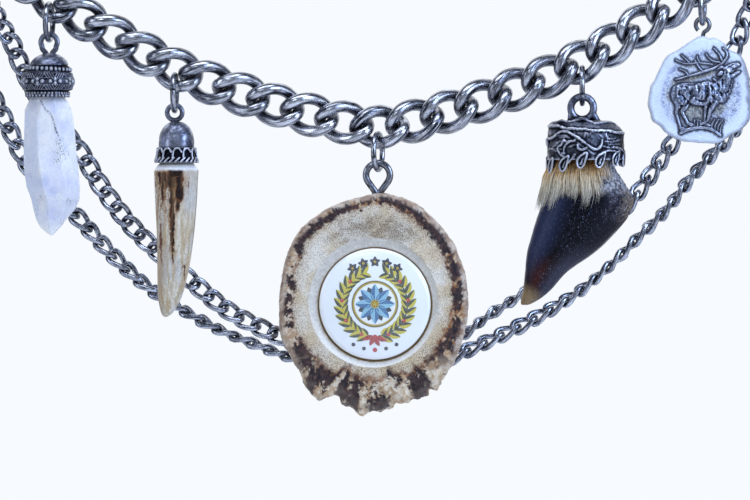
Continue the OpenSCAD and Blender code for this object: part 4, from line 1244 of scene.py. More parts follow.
def burr_paint(points, inward, wide, middle):
    """Colours of a sawn antler burr: porous cream core, dark mottled bark, pale outer skin, specks."""
    x, y, z = points.T
    p = points * [1, 0.8, 1]
    turn = np.arctan2(z - middle[1], x - middle[0])
    ridge = noise(np.stack([turn * 9 + 40, inward * 0.16, y * 0.22 + 8], -1), 3)
    low = smooth(-39, -45, z)
    torn = noise(p * 3.1 + 19, 3) - 0.5
    ragged = 1.2 * (noise(p * 0.45, 3) - 0.5) + 1.3 * (noise(p * 1.5 + 9, 4) - 0.5) + 0.9 * torn
    ragged = ragged + 1.6 * low * (ridge - 0.5)
    depth = inward / wide + ragged * 1.1 / wide
    cloud = noise(p * 0.22 + 4, 3)
    core = mix(srgb(236, 231, 221), srgb(222, 206, 182), smooth(0.36, 0.66, cloud))
    smoke = smooth(8.5, 1.0, np.hypot((x - 0.6) * 0.5, (z + 12.9) * 1.7)) * (y < 0)
    smoke = np.maximum(smoke, 0.6 * smooth(4.5, 1.0, np.hypot((x + 6.5) * 0.6, (z + 14.6) * 1.4)) * (y < 0))
    faint = smooth(0.36, 0.64, noise(p + 31, 3))
    core = mix(core, srgb(146, 132, 114), np.clip(smoke * (0.4 + 0.5 * faint), 0, 0.75))
    yellowed = smooth(0.5, 0.62, noise(p * 0.8 + 17, 3)) * smooth(-30, -42, z)
    core = mix(core, srgb(214, 200, 166), 0.5 * yellowed)
    core = mix(core, srgb(196, 170, 136), smooth(1.9, 1.08, depth) * 0.45)
    black = mix(srgb(26, 22, 36), srgb(76, 54, 54), smooth(0.35, 0.7, noise(p * 1.9 + 3, 4)))
    tan = mix(srgb(206, 180, 148), srgb(146, 98, 60), smooth(0.35, 0.65, noise(p * 1.5 + 13, 4)))
    patch = noise(p * [0.36, 0.3, 0.36] + 51, 3) * 0.5 + noise(p * 1.1 + 61, 4) * 0.35 + 0.15 * (torn + 0.5)
    left = smooth(-15, -18.5, x) * smooth(-12, -20, z) * smooth(-41, -35, z)
    blots = noise(np.stack([turn * 6.5, inward * 0.2, y * 0.3 + 3], -1), 2) + 0.2 * torn
    paler = mix(srgb(222, 204, 184), srgb(186, 156, 128), smooth(0.4, 0.6, noise(p * 1.3 + 27, 3)))
    tan = mix(tan, paler, left)
    open_bark = left * smooth(0.44, 0.56, blots)
    bark = mix(black, tan, smooth(0.53, 0.575, patch + 0.05 * smooth(0.5, 0.2, depth) + 0.16 * open_bark))
    streaked = ridge + 0.35 * torn + 0.3 * (noise(p * 1.2 + 91, 3) - 0.5)
    cream = mix(srgb(226, 212, 192), srgb(184, 156, 124), smooth(0.35, 0.65, noise(p * 1.1 + 23, 3)))
    under = mix(black, cream, smooth(0.47, 0.55, streaked))
    bark = mix(bark, under, low * smooth(1.0, 0.8, depth))
    bark = mix(bark, srgb(134, 78, 44), 0.62 * smooth(0.78, 0.95, depth) * smooth(0.34, 0.62, patch))
    skin = mix(srgb(214, 198, 184), srgb(168, 144, 128), smooth(0.35, 0.65, noise(p * 0.8 + 71, 4)))
    skin = mix(skin, srgb(104, 74, 60), smooth(0.56, 0.66, noise(p * 1.3 + 81, 4)) * 0.6)
    skin = mix(skin, mix(black, cream, smooth(0.46, 0.56, streaked)), low * 0.85)
    paint = mix(core, bark, smooth(1.14, 0.9, depth))
    paint = mix(paint, skin, smooth(0.36, 0.16, depth + 0.3 * (patch - 0.5)))
    speck = np.where(depth > 1, 0.36 + 0.6 * smoke + 0.3 * faint + 0.6 * smooth(1.5, 1.05, depth), 0.35)
    return paint, depth, ridge, np.clip(speck, 0, 1)


# Small pits in the sawn face: x, z, reach, reach of the floor
BURR_PITS = [(-3.7, -8.9, 0.34, 0.16), (-12.6, -32.9, 0.26, 0.12), (9.9, -12.6, 0.26, 0.12)]
BURR_SECTORS = 600
# The hollow that leads down to the insert: its radius at the face, and the seat's
COVE_R = 14.1
SEAT_R = INSERT_R + 0.24
SEAT_MIDDLE = INSERT_MIDDLE + [0.04, -0.13]


def burr_relief(points, normals, depth, ridge):
    """How far the burr's surface stands out of its sawn form, and where it is pitted."""
    low = smooth(-41, -47, points[:, 2])
    side = np.hypot(normals[:, 0], normals[:, 2])
    knobs = noise(points * 0.55 + 5, 3) - 0.5
    fine = noise(points * 2.0 + 15, 3) - 0.5
    rough = smooth(1.15, 0.7, depth)
    height = rough * (0.35 + 0.45 * low) * knobs * 2 * (0.35 + 0.65 * side) + rough * 0.26 * fine
    height = height + rough * low * 2.2 * (ridge - 0.5) * (0.5 + 0.5 * side)
    pit = np.zeros(len(points))
    for x, z, reach, floor in BURR_PITS:
        away = np.hypot(points[:, 0] - x, points[:, 2] - z)
        pit = np.maximum(pit, smooth(reach, floor, away) * (points[:, 1] < 0))
    return height, height - 0.8 * pit + (1 - rough) * 0.05 * fine, pit


def insert_seat(ring, face_paint):
    """Rows of points and colours from the middle of the insert's seat out to the sawn face."""
    rows, colours = [], []

    def put(middle, radius, depth, colour):
        rows.append(facing(middle + ring * radius, DISC_FRONT + depth))
        colours.append(np.broadcast_to(colour, (len(ring), 3)))

    brown, tan = srgb(98, 72, 44), srgb(150, 126, 88)
    steps = [
        (0.02, SEAT_DEPTH, brown), (SEAT_R * 0.6, SEAT_DEPTH, brown), (INSERT_R - 0.2, SEAT_DEPTH, brown),
        (INSERT_R - 0.02, 1.15, tan), (SEAT_R, 1.0, tan), (SEAT_R + 0.06, 0.86, brown)]
    for radius, depth, colour in steps:
        put(SEAT_MIDDLE, radius, depth, colour)
    for t in np.linspace(0, 1, 13):
        middle, radius = mix(SEAT_MIDDLE, COVE_MIDDLE, t), mix(SEAT_R + 0.12, COVE_R, t)
        spot = noise(facing(middle + ring * radius, 0) * 1.2, 3)
        colour = mix(srgb(222, 218, 211), srgb(208, 203, 196), smooth(0.3, 0.8, spot))
        # Painted light: the cove's lower half is painted lighter, as the side that faces up to the lamps.
        colour = mix(colour, srgb(240, 237, 231), smooth(0.0, -0.8, ring[:, 1]))
        colour = mix(colour, srgb(140, 110, 70), smooth(0.12, 0.0, t) * 0.85)
        lower = smooth(0.2, -0.9, ring[:, 1]) * smooth(0.4, 0.0, t)
        colour = mix(colour, srgb(150, 128, 92), lower * 0.5 * smooth(0.4, 0.6, spot))
        colour = mix(colour, face_paint, smooth(0.86, 1.0, t))
        put(middle, radius, 0.85 * np.cos(t * np.pi / 2) ** 0.9, colour)
    return rows, colours


def burr_disc():
    angle = once_round(BURR_SECTORS)
    ring = way_at(angle)
    reach = outline_reach(DISC_OUTLINE, DISC_MIDDLE, angle)
    wide = np.interp(np.degrees((angle + np.pi) % (2 * np.pi) - np.pi), *np.array(BARK_WIDTHS).T)
    inner = COVE_MIDDLE + ring * COVE_R
    points, normals, inward = sawn_points(DISC_MIDDLE, reach, angle, inner, 44, DISC_T, 20, 8)
    wide = np.tile(wide, len(points) // BURR_SECTORS)
    paint, depth, ridge, speck = burr_paint(points, inward, wide, DISC_MIDDLE)
    height, lift, pit = burr_relief(points, normals, depth, ridge)
    points = points + lift[:, None] * normals
    paint = mix(paint, srgb(22, 18, 18), pit)
    paint = paint * (1 + np.clip(height * 0.5, -0.3, 0.3))[:, None]
    rows, colours = insert_seat(ring, paint[:BURR_SECTORS])
    speck = np.concatenate([np.zeros(len(rows) * BURR_SECTORS), speck])
    points = np.vstack(rows + [points])
    paint = np.vstack(colours + [paint])
    faces = [grid_faces(len(points) // BURR_SECTORS, BURR_SECTORS)]
    shape = Shape().add(points, faces, paint=np.clip(paint, 0, 1), speck=speck)
    brown = srgb(98, 74, 52)
    look = painted_look("burr_look", 0.5, (2.2, 2.2, 2.2), 0.3, 0.08, 0.04, 0.35, 0.0, brown, 0.3)
    charm_piece("burr_disc_sawn", shape, look, "medallion", "medallion_disc")


def eye_pin():
    """The medallion's bent wire: a teardrop eye whose two legs meet over the pin."""
    thickness, radius, apex = 1.5, 2.6, 4.0
    middle = eye_drop(radius, thickness)
    lean = np.arcsin(radius / apex)
    arc = circle_path(middle, radius, -np.degrees(lean), 180 + 2 * np.degrees(lean), 60)
    foot = middle - [0, 0, apex]
    right = np.array([foot + [0.14, 0, -3.6], foot + [0.14, 0, -0.4], foot + [0.35, 0, 0.1]])
    left = np.array([foot + [-0.55, 0, 0.35], foot + [-0.62, 0, -0.5]])
    path = eased(resample(np.vstack([right, arc, left]), 110, False), 3)
    points, faces, grain = wire(path, thickness / 2, 18, False, FLAT_END)
    inside = smooth(radius, radius - 0.7, np.hypot(points[:, 0], points[:, 2] - middle[2]))
    low = smooth(-4.2, -5.2, points[:, 2])
    recess = np.clip(0.18 + 0.5 * inside + 0.4 * low, 0, 0.85)
    shape = Shape().add(points, faces, grain=grain, recess=recess)
    charm_piece("medallion_eye_wire", shape, RING_SILVER, "medallion", "medallion_eye")


# The insert's painted ornament, in millimetres from its middle
OLIVE, LEAF_LIGHT = srgb(52, 58, 26), srgb(206, 190, 50)
GOLD, RED, BLUE, PALE_BLUE = srgb(186, 160, 20), srgb(186, 32, 36), srgb(40, 104, 156), srgb(136, 190, 216)
NAVY = srgb(16, 18, 44)


def strip(middle, half, left, right):
    """A flat ribbon along a line, in two halves of their own colours: flat points, faces, colours."""
    middle = np.asarray(middle, float)
    n = len(middle)
    way = unit(np.gradient(middle, axis=0) + 1e-9)
    out = np.stack([-way[:, 1], way[:, 0]], -1)
    half = np.broadcast_to(half, (n,))[:, None]
    points = np.concatenate([middle + out * half * place for place in (1, 0.02, -0.02, -1)])
    colours = np.repeat([left, left, right, right], n, 0)
    k = np.arange(n - 1)
    faces = [np.stack([k, k + 1, k + 1 + n, k + n], -1) + a for a in (0, n, 2 * n)]
    return points, faces, colours


def blade(start, angle, length, width, left, right, bend=0.25):
    """A pointed leaf or petal from its foot."""
    t = np.linspace(0, 1, 12)
    a = np.radians(angle) + bend * (t - 0.5)
    step = way_at(a) * length / (len(t) - 1)
    middle = np.asarray(start) + np.concatenate([[[0, 0]], np.cumsum(step[:-1], 0)])
    return strip(middle, width / 2 * np.sin(np.pi * t ** 0.8) ** 0.8 + 0.01, left, right)


DOT_CORNERS = 14


def dot(middle, radius, colour):
    points = np.asarray(middle) + radius * way_at(once_round(DOT_CORNERS))
    return points, [np.arange(DOT_CORNERS)[None, ::-1]], np.tile(colour, (DOT_CORNERS, 1))
WREATH_R = 7.0


def ornament():
    """A wreath of leaves and berries round a blue flower: what the insert is painted with."""
    marks = []
    for side in (-1, 1):
        a = np.radians(-90 + side * np.linspace(6, 158, 40))
        stem = way_at(a) * WREATH_R
        marks.append((strip(stem, 0.18, OLIVE, OLIVE), 0))
        for k, turn in enumerate(np.linspace(12, 156, 13)):
            at = np.radians(-90 + side * turn)
            foot = WREATH_R * way_at(at)
            along = np.degrees(at) + side * 90
            marks.append((blade(foot, along - side * 38, 2.8, 1.35, OLIVE, LEAF_LIGHT, 0.3), 1))
            marks.append((blade(foot, along + side * 40, 2.2, 1.15, LEAF_LIGHT, OLIVE, -0.3), 1))
            if k % 3 == 1:
                berry = foot + 0.2 * way_at(at)
                marks.append((dot(berry, 0.42, RED), 2))
                marks.append((dot(berry + [-0.1, 0.12], 0.12, srgb(232, 150, 140)), 3))
    hoop = way_at(np.linspace(0, 2 * np.pi, 72))
    marks.append((strip(hoop * 4.75, 0.3, GOLD, srgb(110, 92, 20)), 0))
    petals = ((22.5, 0.4, 3.5, NAVY, NAVY, 0), (0, 0.5, 3.8, BLUE, PALE_BLUE, 1))
    for first, foot, length, left, right, level in petals:
        for turn in first + 45 * np.arange(8):
            marks.append((blade(polar(foot, turn), turn, length, 1.9, left, right, 0), level))
    marks.append((dot((0, 0), 0.95, GOLD), 2))
    for a in once_round(7):
        marks.append((dot(0.6 * way_at(a), 0.16, srgb(110, 70, 20)), 3))
    for turn in (90, 74, 106, 58, 122):
        middle = polar(9.1, turn)
        for k in range(5):
            marks.append((blade(middle, 72 * k + turn, 1.2, 0.8, NAVY, NAVY, 0), 1))
        marks.append((dot(middle, 0.28, GOLD), 2))
    marks.append((dot(polar(9.9, -90), 0.5, RED), 1))
    for turn in (-76, -104, -62, -118):
        marks.append((dot(polar(9.9, turn), 0.42, NAVY), 1))
    bow = [(-1.5, -7.0, 200, 2.6), (1.5, -7.0, -20, 2.6), (-0.4, -7.3, 240, 2.0), (0.4, -7.3, -60, 2.0)]
    for x, z, turn, length in bow:
        marks.append((blade((x * 0.2, z), turn, length, 1.0, RED, srgb(150, 30, 36), 0.4), 2))
    marks.append((dot((0, -7.1), 0.5, RED), 3))
    return marks


def insert_front(flat, lift=0.0):
    """Points of the insert's dome over flat points, or just above it."""
    ball_r = (INSERT_R ** 2 + INSERT_DOME ** 2) / (2 * INSERT_DOME)
    r = np.hypot(flat[:, 0], flat[:, 1])
    y = DISC_FRONT - INSERT_DOME + ball_r - np.sqrt(ball_r ** 2 - r ** 2) - lift
    edge = smooth(INSERT_R - 0.9, INSERT_R, r) ** 2 * 0.28
    return facing(flat, y + edge)


def porcelain_insert():
    ring = way_at(once_round(INSERT_SECTORS))
    radii = np.concatenate([[0.01], np.linspace(0.5, 10.8, 22), [11.2, 11.5, 11.7, 11.85, 11.95, 12.0]])
    rows = [insert_front(ring * r) for r in radii]
    for depth, r in ((0.4, 12.0), (0.9, 11.98), (1.9, 11.9), (1.95, 0.01)):
        rows.append(facing(ring * r, DISC_FRONT + depth))
    points = np.vstack(rows)
    white = np.tile(srgb(243, 247, 252), (len(points), 1))
    r = np.hypot(points[:, 0], points[:, 2])
    white = mix(white, srgb(206, 200, 186), smooth(11.75, 12.0, r) * 0.7)
    shape = Shape().add(points, [grid_faces(len(rows), INSERT_SECTORS)], paint=white)
    for (flat, faces, colours), level in ornament():
        shape.add(insert_front(flat, 0.02 + 0.012 * level), faces, paint=colours)
    shape.moved([INSERT_MIDDLE[0], 0, INSERT_MIDDLE[1]])
    charm_piece("porcelain_insert_glazed", shape, porcelain_look(), "medallion",
                "medallion_insert")


def porcelain_look():
    look = Look("porcelain_look")
    fine = look.noise(look.place((0.7, 0.7, 0.7)), 3, 0.5)
    speck = look.noise(look.place((7.0, 7.0, 7.0)), 3, 0.6)
    tone = look.mixed(look.ramp(speck, (0.42, 0.22), (0.6, 0.0)), look.colour("paint"), srgb(235, 238, 236))
    return look.finish(Base_Color=tone, Roughness=0.22, Coat_Weight=0.9, Coat_Roughness=0.03,
                       Coat_IOR=1.5, Normal=look.bump(fine, 0.25, 0.02))


burr_disc()
eye_pin()
porcelain_insert()

# Hoof, measured from its pivot under the jump ring: z, left x, right x, half depth
CAP_WALL_ROWS = [
    (-3.9, -6.6, 6.7, 4.6), (-4.6, -7.2, 7.5, 5.3), (-5.6, -7.35, 8.6, 6.0), (-6.4, -7.45, 9.0, 6.4),
    (-8, -7.5, 9.0, 6.6), (-10, -7.55, 9.05, 6.75), (-11.3, -7.55, 9.05, 6.75), (-16, -7.6, 9.0, 6.8)]
CLAW_ROWS = [
    (-8.4, -5.6, 6.3, 3.2), (-13.4, -6.3, 6.9, 3.9), (-15.8, -7.4, 8.3, 5.0), (-18.4, -7.9, 9.9, 5.5),
    (-20.4, -8.5, 11, 5.6), (-22.8, -9.2, 10.6, 5.5), (-25.3, -10, 9.3, 5.3), (-29.2, -11.1, 6, 4.8),
    (-32.2, -11.9, 2.7, 4.2), (-36.4, -12.3, -3.2, 3.2), (-40.3, -12.8, -6.8, 2.3),
    (-42.1, -13.2, -8.9, 1.6), (-43.2, -13.2, -10.9, 1.0), (-43.5, -12.9, -11.8, 0.5)]
# Relief on the cap's front: lists of x and z, and the wire's radius
BRANCH = [
    (-7.94, -7.6), (-6.48, -7.47), (-5.29, -6.41), (-3.97, -6.01), (-2.78, -6.41), (-1.19, -7.34),
    (0.13, -8.26), (1.19, -9.06), (2.11, -9.72), (3.17, -9.85), (3.9, -9.19), (4.23, -7.87)]
CRESCENT_IN = [
    (-4.04, -7.8), (-3.5, -8.3), (-1.72, -8.0), (-1.72, -8.0), (-2.91, -8.39), (-3.71, -9.06),
    (-4.04, -10.11), (-3.84, -11.17)]
CRESCENT_OUT = [
    (-4.04, -7.8), (-4.5, -8.9), (-5.16, -9.32), (-5.29, -10.11), (-4.63, -11.17), (-3.84, -11.43)]
HOOK = [(-1.19, -8.92), (-0.93, -9.72), (0, -9.98), (1.06, -9.45)]
RIM_TWO = [
    (-7.67, -4.82), (-5.16, -4.89), (-3.57, -5.35), (-1.72, -5.48), (0.13, -5.62), (2.77, -5.88),
    (5.42, -5.88), (7.4, -6.28), (9.3, -6.41)]
RIM_ONE = [
    (-7.67, -4.82), (-6.48, -4.29), (-4.76, -3.77), (-3.3, -4.05), (-1.72, -3.77), (0.13, -3.37),
    (0.92, -3.64), (2.77, -4.29), (4.76, -4.16), (6.61, -4.16), (7.67, -5.09)]
HATCHING = [[(5.0, -7.6), (6.8, -7.7)], [(4.9, -8.2), (7.2, -8.4)], [(5.4, -8.9), (7.9, -8.8)],
            [(5.0, -9.5), (7.4, -9.7)], [(6.3, -8.3), (8.1, -7.9)]]
# All lines of the relief: route, radius, lift, seed, wobble, points along it
CAP_LINES = [
    (RIM_TWO, 0.34, 0.1, 1, 0.09, 60), ([(x * 0.98, z) for x, z in RIM_ONE], 0.3, -0.1, 2, 0.09, 60),
    (BRANCH, 0.27, 0.1, 3, 0.04, 70), (CRESCENT_IN, 0.2, 0.1, 4, 0.03, 60),
    (CRESCENT_OUT, 0.22, 0.1, 5, 0.03, 60),
    ([(-4.3, -11.3), (-4.4, -10.8), (-4.0, -10.7)], 0.36, 0.0, 6, 0.03, 12),
    (HOOK, 0.24, 0.08, 7, 0.03, 60), ([(-1.72, -7.9), (-1.65, -7.4)], 0.14, 0.08, 8, 0.02, 8),
    *[(line, 0.13, 0.05, 10 + k, 0.05, 16) for k, line in enumerate(HATCHING)],
    ([(6.2, -9.6), (7.2, -9.5), (8.4, -10.0), (8.9, -10.6)], 0.2, 0.06, 20, 0.03, 24),
    ([(-2.2, -11.0), (-1.6, -11.1), (-2.5, -12.0), (-3.0, -13.0)], 0.17, 0.0, 21, 0.03, 24),
    ([(4.4, -10.6), (5.6, -10.2), (7.3, -10.3)], 0.18, 0.06, 22, 0.03, 24)]
# A hanging drop's outline about its middle, and where the drops hang round the wall: angle, z
DROP = [
    (0.62, 1.05), (0.5, 0.3), (0.22, -0.5), (-0.2, -0.95), (-0.66, -0.78), (-0.82, -0.1), (-0.5, 0.5),
    (0.05, 0.85)]
DROPS = [
    (154, -13.5), (124, -13.1), (95.5, -12.4), (67.5, -12.3), (38, -11.9), (10, -11.9), (-20, -12.0),
    (-50, -12.2), (-80, -12.3), (-110, -12.6), (-140, -13.0), (-172, -13.3)]


def oval_at(rows, z):
    """Middle, half width and half depth of an oval body at each height."""
    rows = np.array(rows)
    left, right, deep = (np.interp(-np.asarray(z, float), -rows[:, 0], rows[:, k]) for k in (1, 2, 3))
    return (left + right) / 2, (right - left) / 2, deep


def on_oval(rows, angle, z, lift=0.0):
    """A point on an oval body: the angle runs from the right over the viewer's side to the left."""
    middle, half, deep = oval_at(rows, z)
    c, s = np.cos(np.radians(angle)), -np.sin(np.radians(angle))
    out = np.stack([c / half, s / deep, 0 * c], -1)
    out = out / np.linalg.norm(out, axis=-1, keepdims=True)
    return np.stack([middle + half * c, deep * s, z + 0 * c], -1) + out * np.asarray(lift)[..., None]


def on_front(rows, flat, lift=0.0, back=False):
    flat = np.asarray(flat, float)
    middle, half, deep = oval_at(rows, flat[:, 1])
    angle = np.degrees(np.arccos(np.clip((flat[:, 0] - middle) / half, -0.998, 0.998)))
    return on_oval(rows, -angle if back else angle, flat[:, 1], lift)


def bead_line(shape, flat, radius, lift, seed, wobble, back, count):
    """A raised line of uneven thickness laid on the cap."""
    draw = np.random.default_rng(SEED + seed)
    line = curve(flat, count)
    line = line + draw.normal(0, wobble, line.shape) * 0.6
    path = on_front(CAP_WALL_ROWS, line, lift, back)
    along = np.column_stack([np.arange(count) * 0.6, np.full(count, seed), np.zeros(count)])
    size = radius * (1 + 0.3 * (noise(along, 2) - 0.5) * 2)
    size[:3] *= (0.5, 0.7, 0.9)
    size[-3:] *= (0.9, 0.75, 0.55)
    shape.add_wire(path, size, 8)


# The cap's roof and its wall, as rows round it: z, how far out of the wall
CAP_ROOF = [
    (-3.72, -3.6), (-3.68, -1.3), (-3.78, -0.3), (-4.15, 0.06), (-5.3, 0.05), (-5.6, -2.0),
    (-5.7, -4.0)]
CAP_WALL = [(z, 0.0) for z in np.linspace(-4.5, -12.1, 16)] + [(-12.25, -0.2), (-12.25, -0.7)]
CAP_WALL += [(z, -0.95) for z in np.linspace(-12.1, -4.8, 9)] + [(-4.5, -0.6)]
CAP_SIDES = 96
CAP_VOXEL = 0.17


def cap_body(shape):
    a = np.linspace(0, 360, CAP_SIDES, endpoint=False)
    roof, wall = (np.vstack([on_oval(CAP_WALL_ROWS, a, z, lift) for z, lift in rows])
                  for rows in (CAP_ROOF, CAP_WALL))
    shape.add(roof, tube_faces(len(CAP_ROOF), CAP_SIDES))
    shape.add(wall, [grid_faces(len(CAP_WALL), CAP_SIDES, True)])


def cap_relief(shape):
    """Raised lines, curls and a knob on the cap's wall."""
    for back in (False, True):
        for route, radius, lift, seed, wobble, count in CAP_LINES:
            bead_line(shape, route, radius, lift, seed, wobble, back, count)
    draw = np.random.default_rng(SEED + 40)
    for k in range(64):
        x, z = draw.uniform(-6.6, 7.9), draw.uniform(-11.0, -6.2)
        way = 3.4 * (noise(np.array([[x * 0.25, z * 0.25, 3.0]]), 2)[0] - 0.5) * np.pi + 0.4
        reach = draw.uniform(0.5, 0.95)
        dx, dz = reach * way_at(way)
        curl = [(x - dx, z - dz), (x, z), (x + dx, z + dz)]
        bead_line(shape, curl, 0.12, 0.04, 60 + k, 0.03, k % 3 == 2, 9)
    knob = on_oval(CAP_WALL_ROWS, np.array([171.0]), -8.3, 0.05)[0]
    points, faces = ball(knob, 0.85, (0.6, 1, 1.35), 11, 14)
    shape.add(points, faces)


# A drop's raised middle: size against its outline, how far out; and the seed on it
DROP_ROWS = ((0.02, -0.05), (0.6, -0.08), (1.0, -0.12), (1.0, -0.75), (0.02, -0.75))
DROP_SEED = np.array([(-0.25, -0.45), (-0.05, 0.05), (0.25, 0.6)])
DROP_CORNERS = 44


def cap_drops(shape):
    """Hanging drops round the wall's lower edge, each an outlined hollow with a seed in it."""
    outline = curve(DROP, DROP_CORNERS, True)
    for turn, z in DROPS:
        narrow = 0.85 if abs(abs(turn) - 90) > 60 else 1.0
        middle, half, deep = oval_at(CAP_WALL_ROWS, z)
        speed = np.hypot(half * np.sin(np.radians(turn)), deep * np.cos(np.radians(turn)))

        def place(flat, lift):
            angle = turn - np.degrees(flat[:, 0] * 1.45 * narrow / speed)
            return on_oval(CAP_WALL_ROWS, angle, z + flat[:, 1] * 1.6, lift)

        shape.add_wire(place(outline, 0.12), 0.24, 8, True)
        rows = [place(outline * size, lift) for size, lift in DROP_ROWS]
        shape.add(np.vstack(rows), tube_faces(len(rows), DROP_CORNERS))
        shape.add_wire(place(curve(DROP_SEED, 10), 0.08), np.linspace(0.2, 0.1, 10), 8)


CAP_LOOP_R = 2.46
CAP_LOOP_WIRE = 1.64
CAP_LOOP_MIDDLE = eye_drop(CAP_LOOP_R, CAP_LOOP_WIRE)
# Metal that ties the loop to the roof: a route, and the radius at its points
CAP_FEET = [
    ([(2.2, 0, -1.9), (2.65, 0, -2.9), (3.2, -0.1, -3.8), (3.4, -0.1, -4.4)], (0.72, 0.85, 0.8, 0.8)),
    ([(-2.3, 0, -1.9), (-2.35, 0, -2.9), (-2.4, 0, -3.8), (-2.5, 0, -4.3)], (0.8, 0.8, 0.85, 1.0)),
    ([(-2.2, -0.6, -3.6), (-1.1, -0.9, -3.55), (0.1, -1.0, -3.35), (1.3, -0.9, -3.6)],
     (0.4, 0.45, 0.5, 0.4))]


def cap_loop(shape):
    loop = circle_path(CAP_LOOP_MIDDLE, CAP_LOOP_R, 0, 360, 64)
    shape.add_wire(loop, CAP_LOOP_WIRE / 2, 18, True)
    for route, sizes in CAP_FEET:
        size = np.interp(np.linspace(0, 1, 20), np.linspace(0, 1, len(sizes)), sizes)
        shape.add_wire(curve(route, 20), size, 14)


def cast_cap():
    shape = Shape()
    for make in (cap_body, cap_relief, cap_drops, cap_loop):
        make(shape)
    points, faces = fused(shape, CAP_VOXEL, 1)
    dip = hollows(points, faces, 9)
    x, y, z = points.T
    mid, half, deep = oval_at(CAP_WALL_ROWS, z)
    reach = np.hypot((x - mid) / half, y / deep)
    height = (reach - 1) * np.minimum(half, deep) * 1.05
    loop = smooth(-3.9, -3.3, z)
    uneven = noise(points * 1.3, 3) - 0.5
    pitted = noise(points * 2.8 + 7, 2) - 0.5
    out = unit(points - np.stack([mid, 0 * mid, z], -1) + [1e-6, 0, 0])
    points = points + ((1 - loop) * (0.16 * uneven + 0.14 * pitted))[:, None] * out
    low = smooth(0.30, 0.02, height) * smooth(-0.8, -0.5, height)
    roof = smooth(-4.9, -4.3, z) * smooth(0.0, -0.6, height)
    recess = np.clip(0.95 * low * (0.75 + 0.5 * uneven) + 0.5 * roof, 0, 0.92)
    inside_wall = np.maximum(recess, 0.9 * (1 - smooth(-4.6, -3.9, z)))
    recess = np.where(height < -0.5, inside_wall, recess)
    inner = smooth(2.5, 1.9, np.hypot(x, z - CAP_LOOP_MIDDLE[2]))
    recess = mix(recess, np.clip(0.12 + 0.65 * inner + 0.25 * pitted, 0, 0.9), loop)
    recess = np.clip(np.maximum(recess, 0.62 + 10 * dip) - 11 * np.maximum(-dip, 0), 0, 0.98)
    polish = np.clip(-13 * dip - 0.2, 0, 1) * (1 - loop)
    cap = Shape().add(points, faces, grain=points * [1, 1, 0.6], recess=recess, polish=polish)
    charm_piece("hoof_cap_cast", cap, CAP_SILVER, "hoof", "hoof_cap")


HORN_SIDES = 128


def horn_paint(edge, z, wave, lines, grit, fine_grit, crust, under, fuzzy):
    """Colours of the horn: black with a painted blue sheen down its left side, a crusted edge, fuzz under
    the hair, an amber tip.
    """
    navy, black = srgb(44, 51, 80), srgb(4, 4, 9)
    # Painted sheen: the horn's left side is painted navy in place of the soft highlight that lies along it.
    sheen = smooth(-0.2, -0.75, edge + 0.15 * wave) * smooth(-41, -32, z)
    paint = mix(black, navy, np.clip(0.06 + 0.85 * sheen + 0.25 * lines, 0, 1))
    paint = mix(paint, srgb(22, 21, 32), smooth(0.2, 0.8, edge) * 0.7)
    paint = mix(paint, srgb(66, 66, 84), smooth(-29, -36, z) * smooth(-0.15, 0.5, edge) * 0.65)
    reddish = smooth(-31.5, -37.5, z) * np.exp(-((edge + 0.35) / 0.4) ** 2)
    paint = mix(paint, srgb(66, 30, 26), reddish * 0.8)
    amber = smooth(-39.4, -42.6, z + 1.6 * edge + 0.6 * (grit - 0.5))
    paint = mix(paint, srgb(146, 124, 92), amber * 0.9)
    rim = smooth(0.93, 0.995, edge) * smooth(-26, -29, z)
    paint = mix(paint, srgb(176, 166, 162), np.clip(rim * 0.8, 0, 1))
    grains = mix(srgb(16, 18, 30), srgb(66, 62, 72), smooth(0.42, 0.6, grit))
    grains = mix(grains, srgb(150, 134, 118), smooth(0.62, 0.95, edge) * smooth(0.4, 0.6, fine_grit) * 0.8)
    paint = mix(paint, grains, crust)
    fuzz = mix(srgb(70, 68, 80), srgb(184, 186, 196), smooth(0.36, 0.66, fuzzy))
    fuzz = mix(mix(srgb(150, 120, 84), srgb(190, 168, 130), grit), fuzz, smooth(0.0, 0.5, edge))
    return mix(paint, fuzz, under * 0.9)


def horn_look():
    look = Look("horn_look")
    fine = look.noise(look.place((2.4, 2.4, 0.35)), 4, 0.6)
    scratch = look.noise(look.place((5.0, 5.0, 0.5)), 3, 0.6)
    tone = look.mixed(0.35, look.colour("paint"), look.ramp(fine, (0.3, 0.45), (0.7, 1.0)), "MULTIPLY")
    dots = look.noise(look.place((4.6, 4.6, 3.2)), 1, 0.5)
    threads = look.ramp(look.noise(look.place((3.4, 3.4, 0.12)), 3, 0.6), (0.6, 0.0), (0.68, 0.35))
    tone = look.mixed(look.maths("MULTIPLY", look.value("speck"), threads), tone, srgb(92, 100, 134))
    marked = look.maths("MULTIPLY", look.value("speck"), look.ramp(dots, (0.64, 0.0), (0.72, 0.8)))
    tone = look.mixed(marked, tone, srgb(150, 160, 194))
    dulled = look.maths("MULTIPLY", look.value("dull"), 0.5)
    shine = look.maths("ADD", dulled, look.ramp(scratch, (0.3, 0.3), (0.7, 0.2)))
    return look.finish(Base_Color=tone, Roughness=shine, Normal=look.bump(fine, 0.5, 0.05),
                       Specular_IOR_Level=0.13, Subsurface_Weight=0.05,
                       Subsurface_Radius=(1.2 * MM, 0.7 * MM, 0.5 * MM))


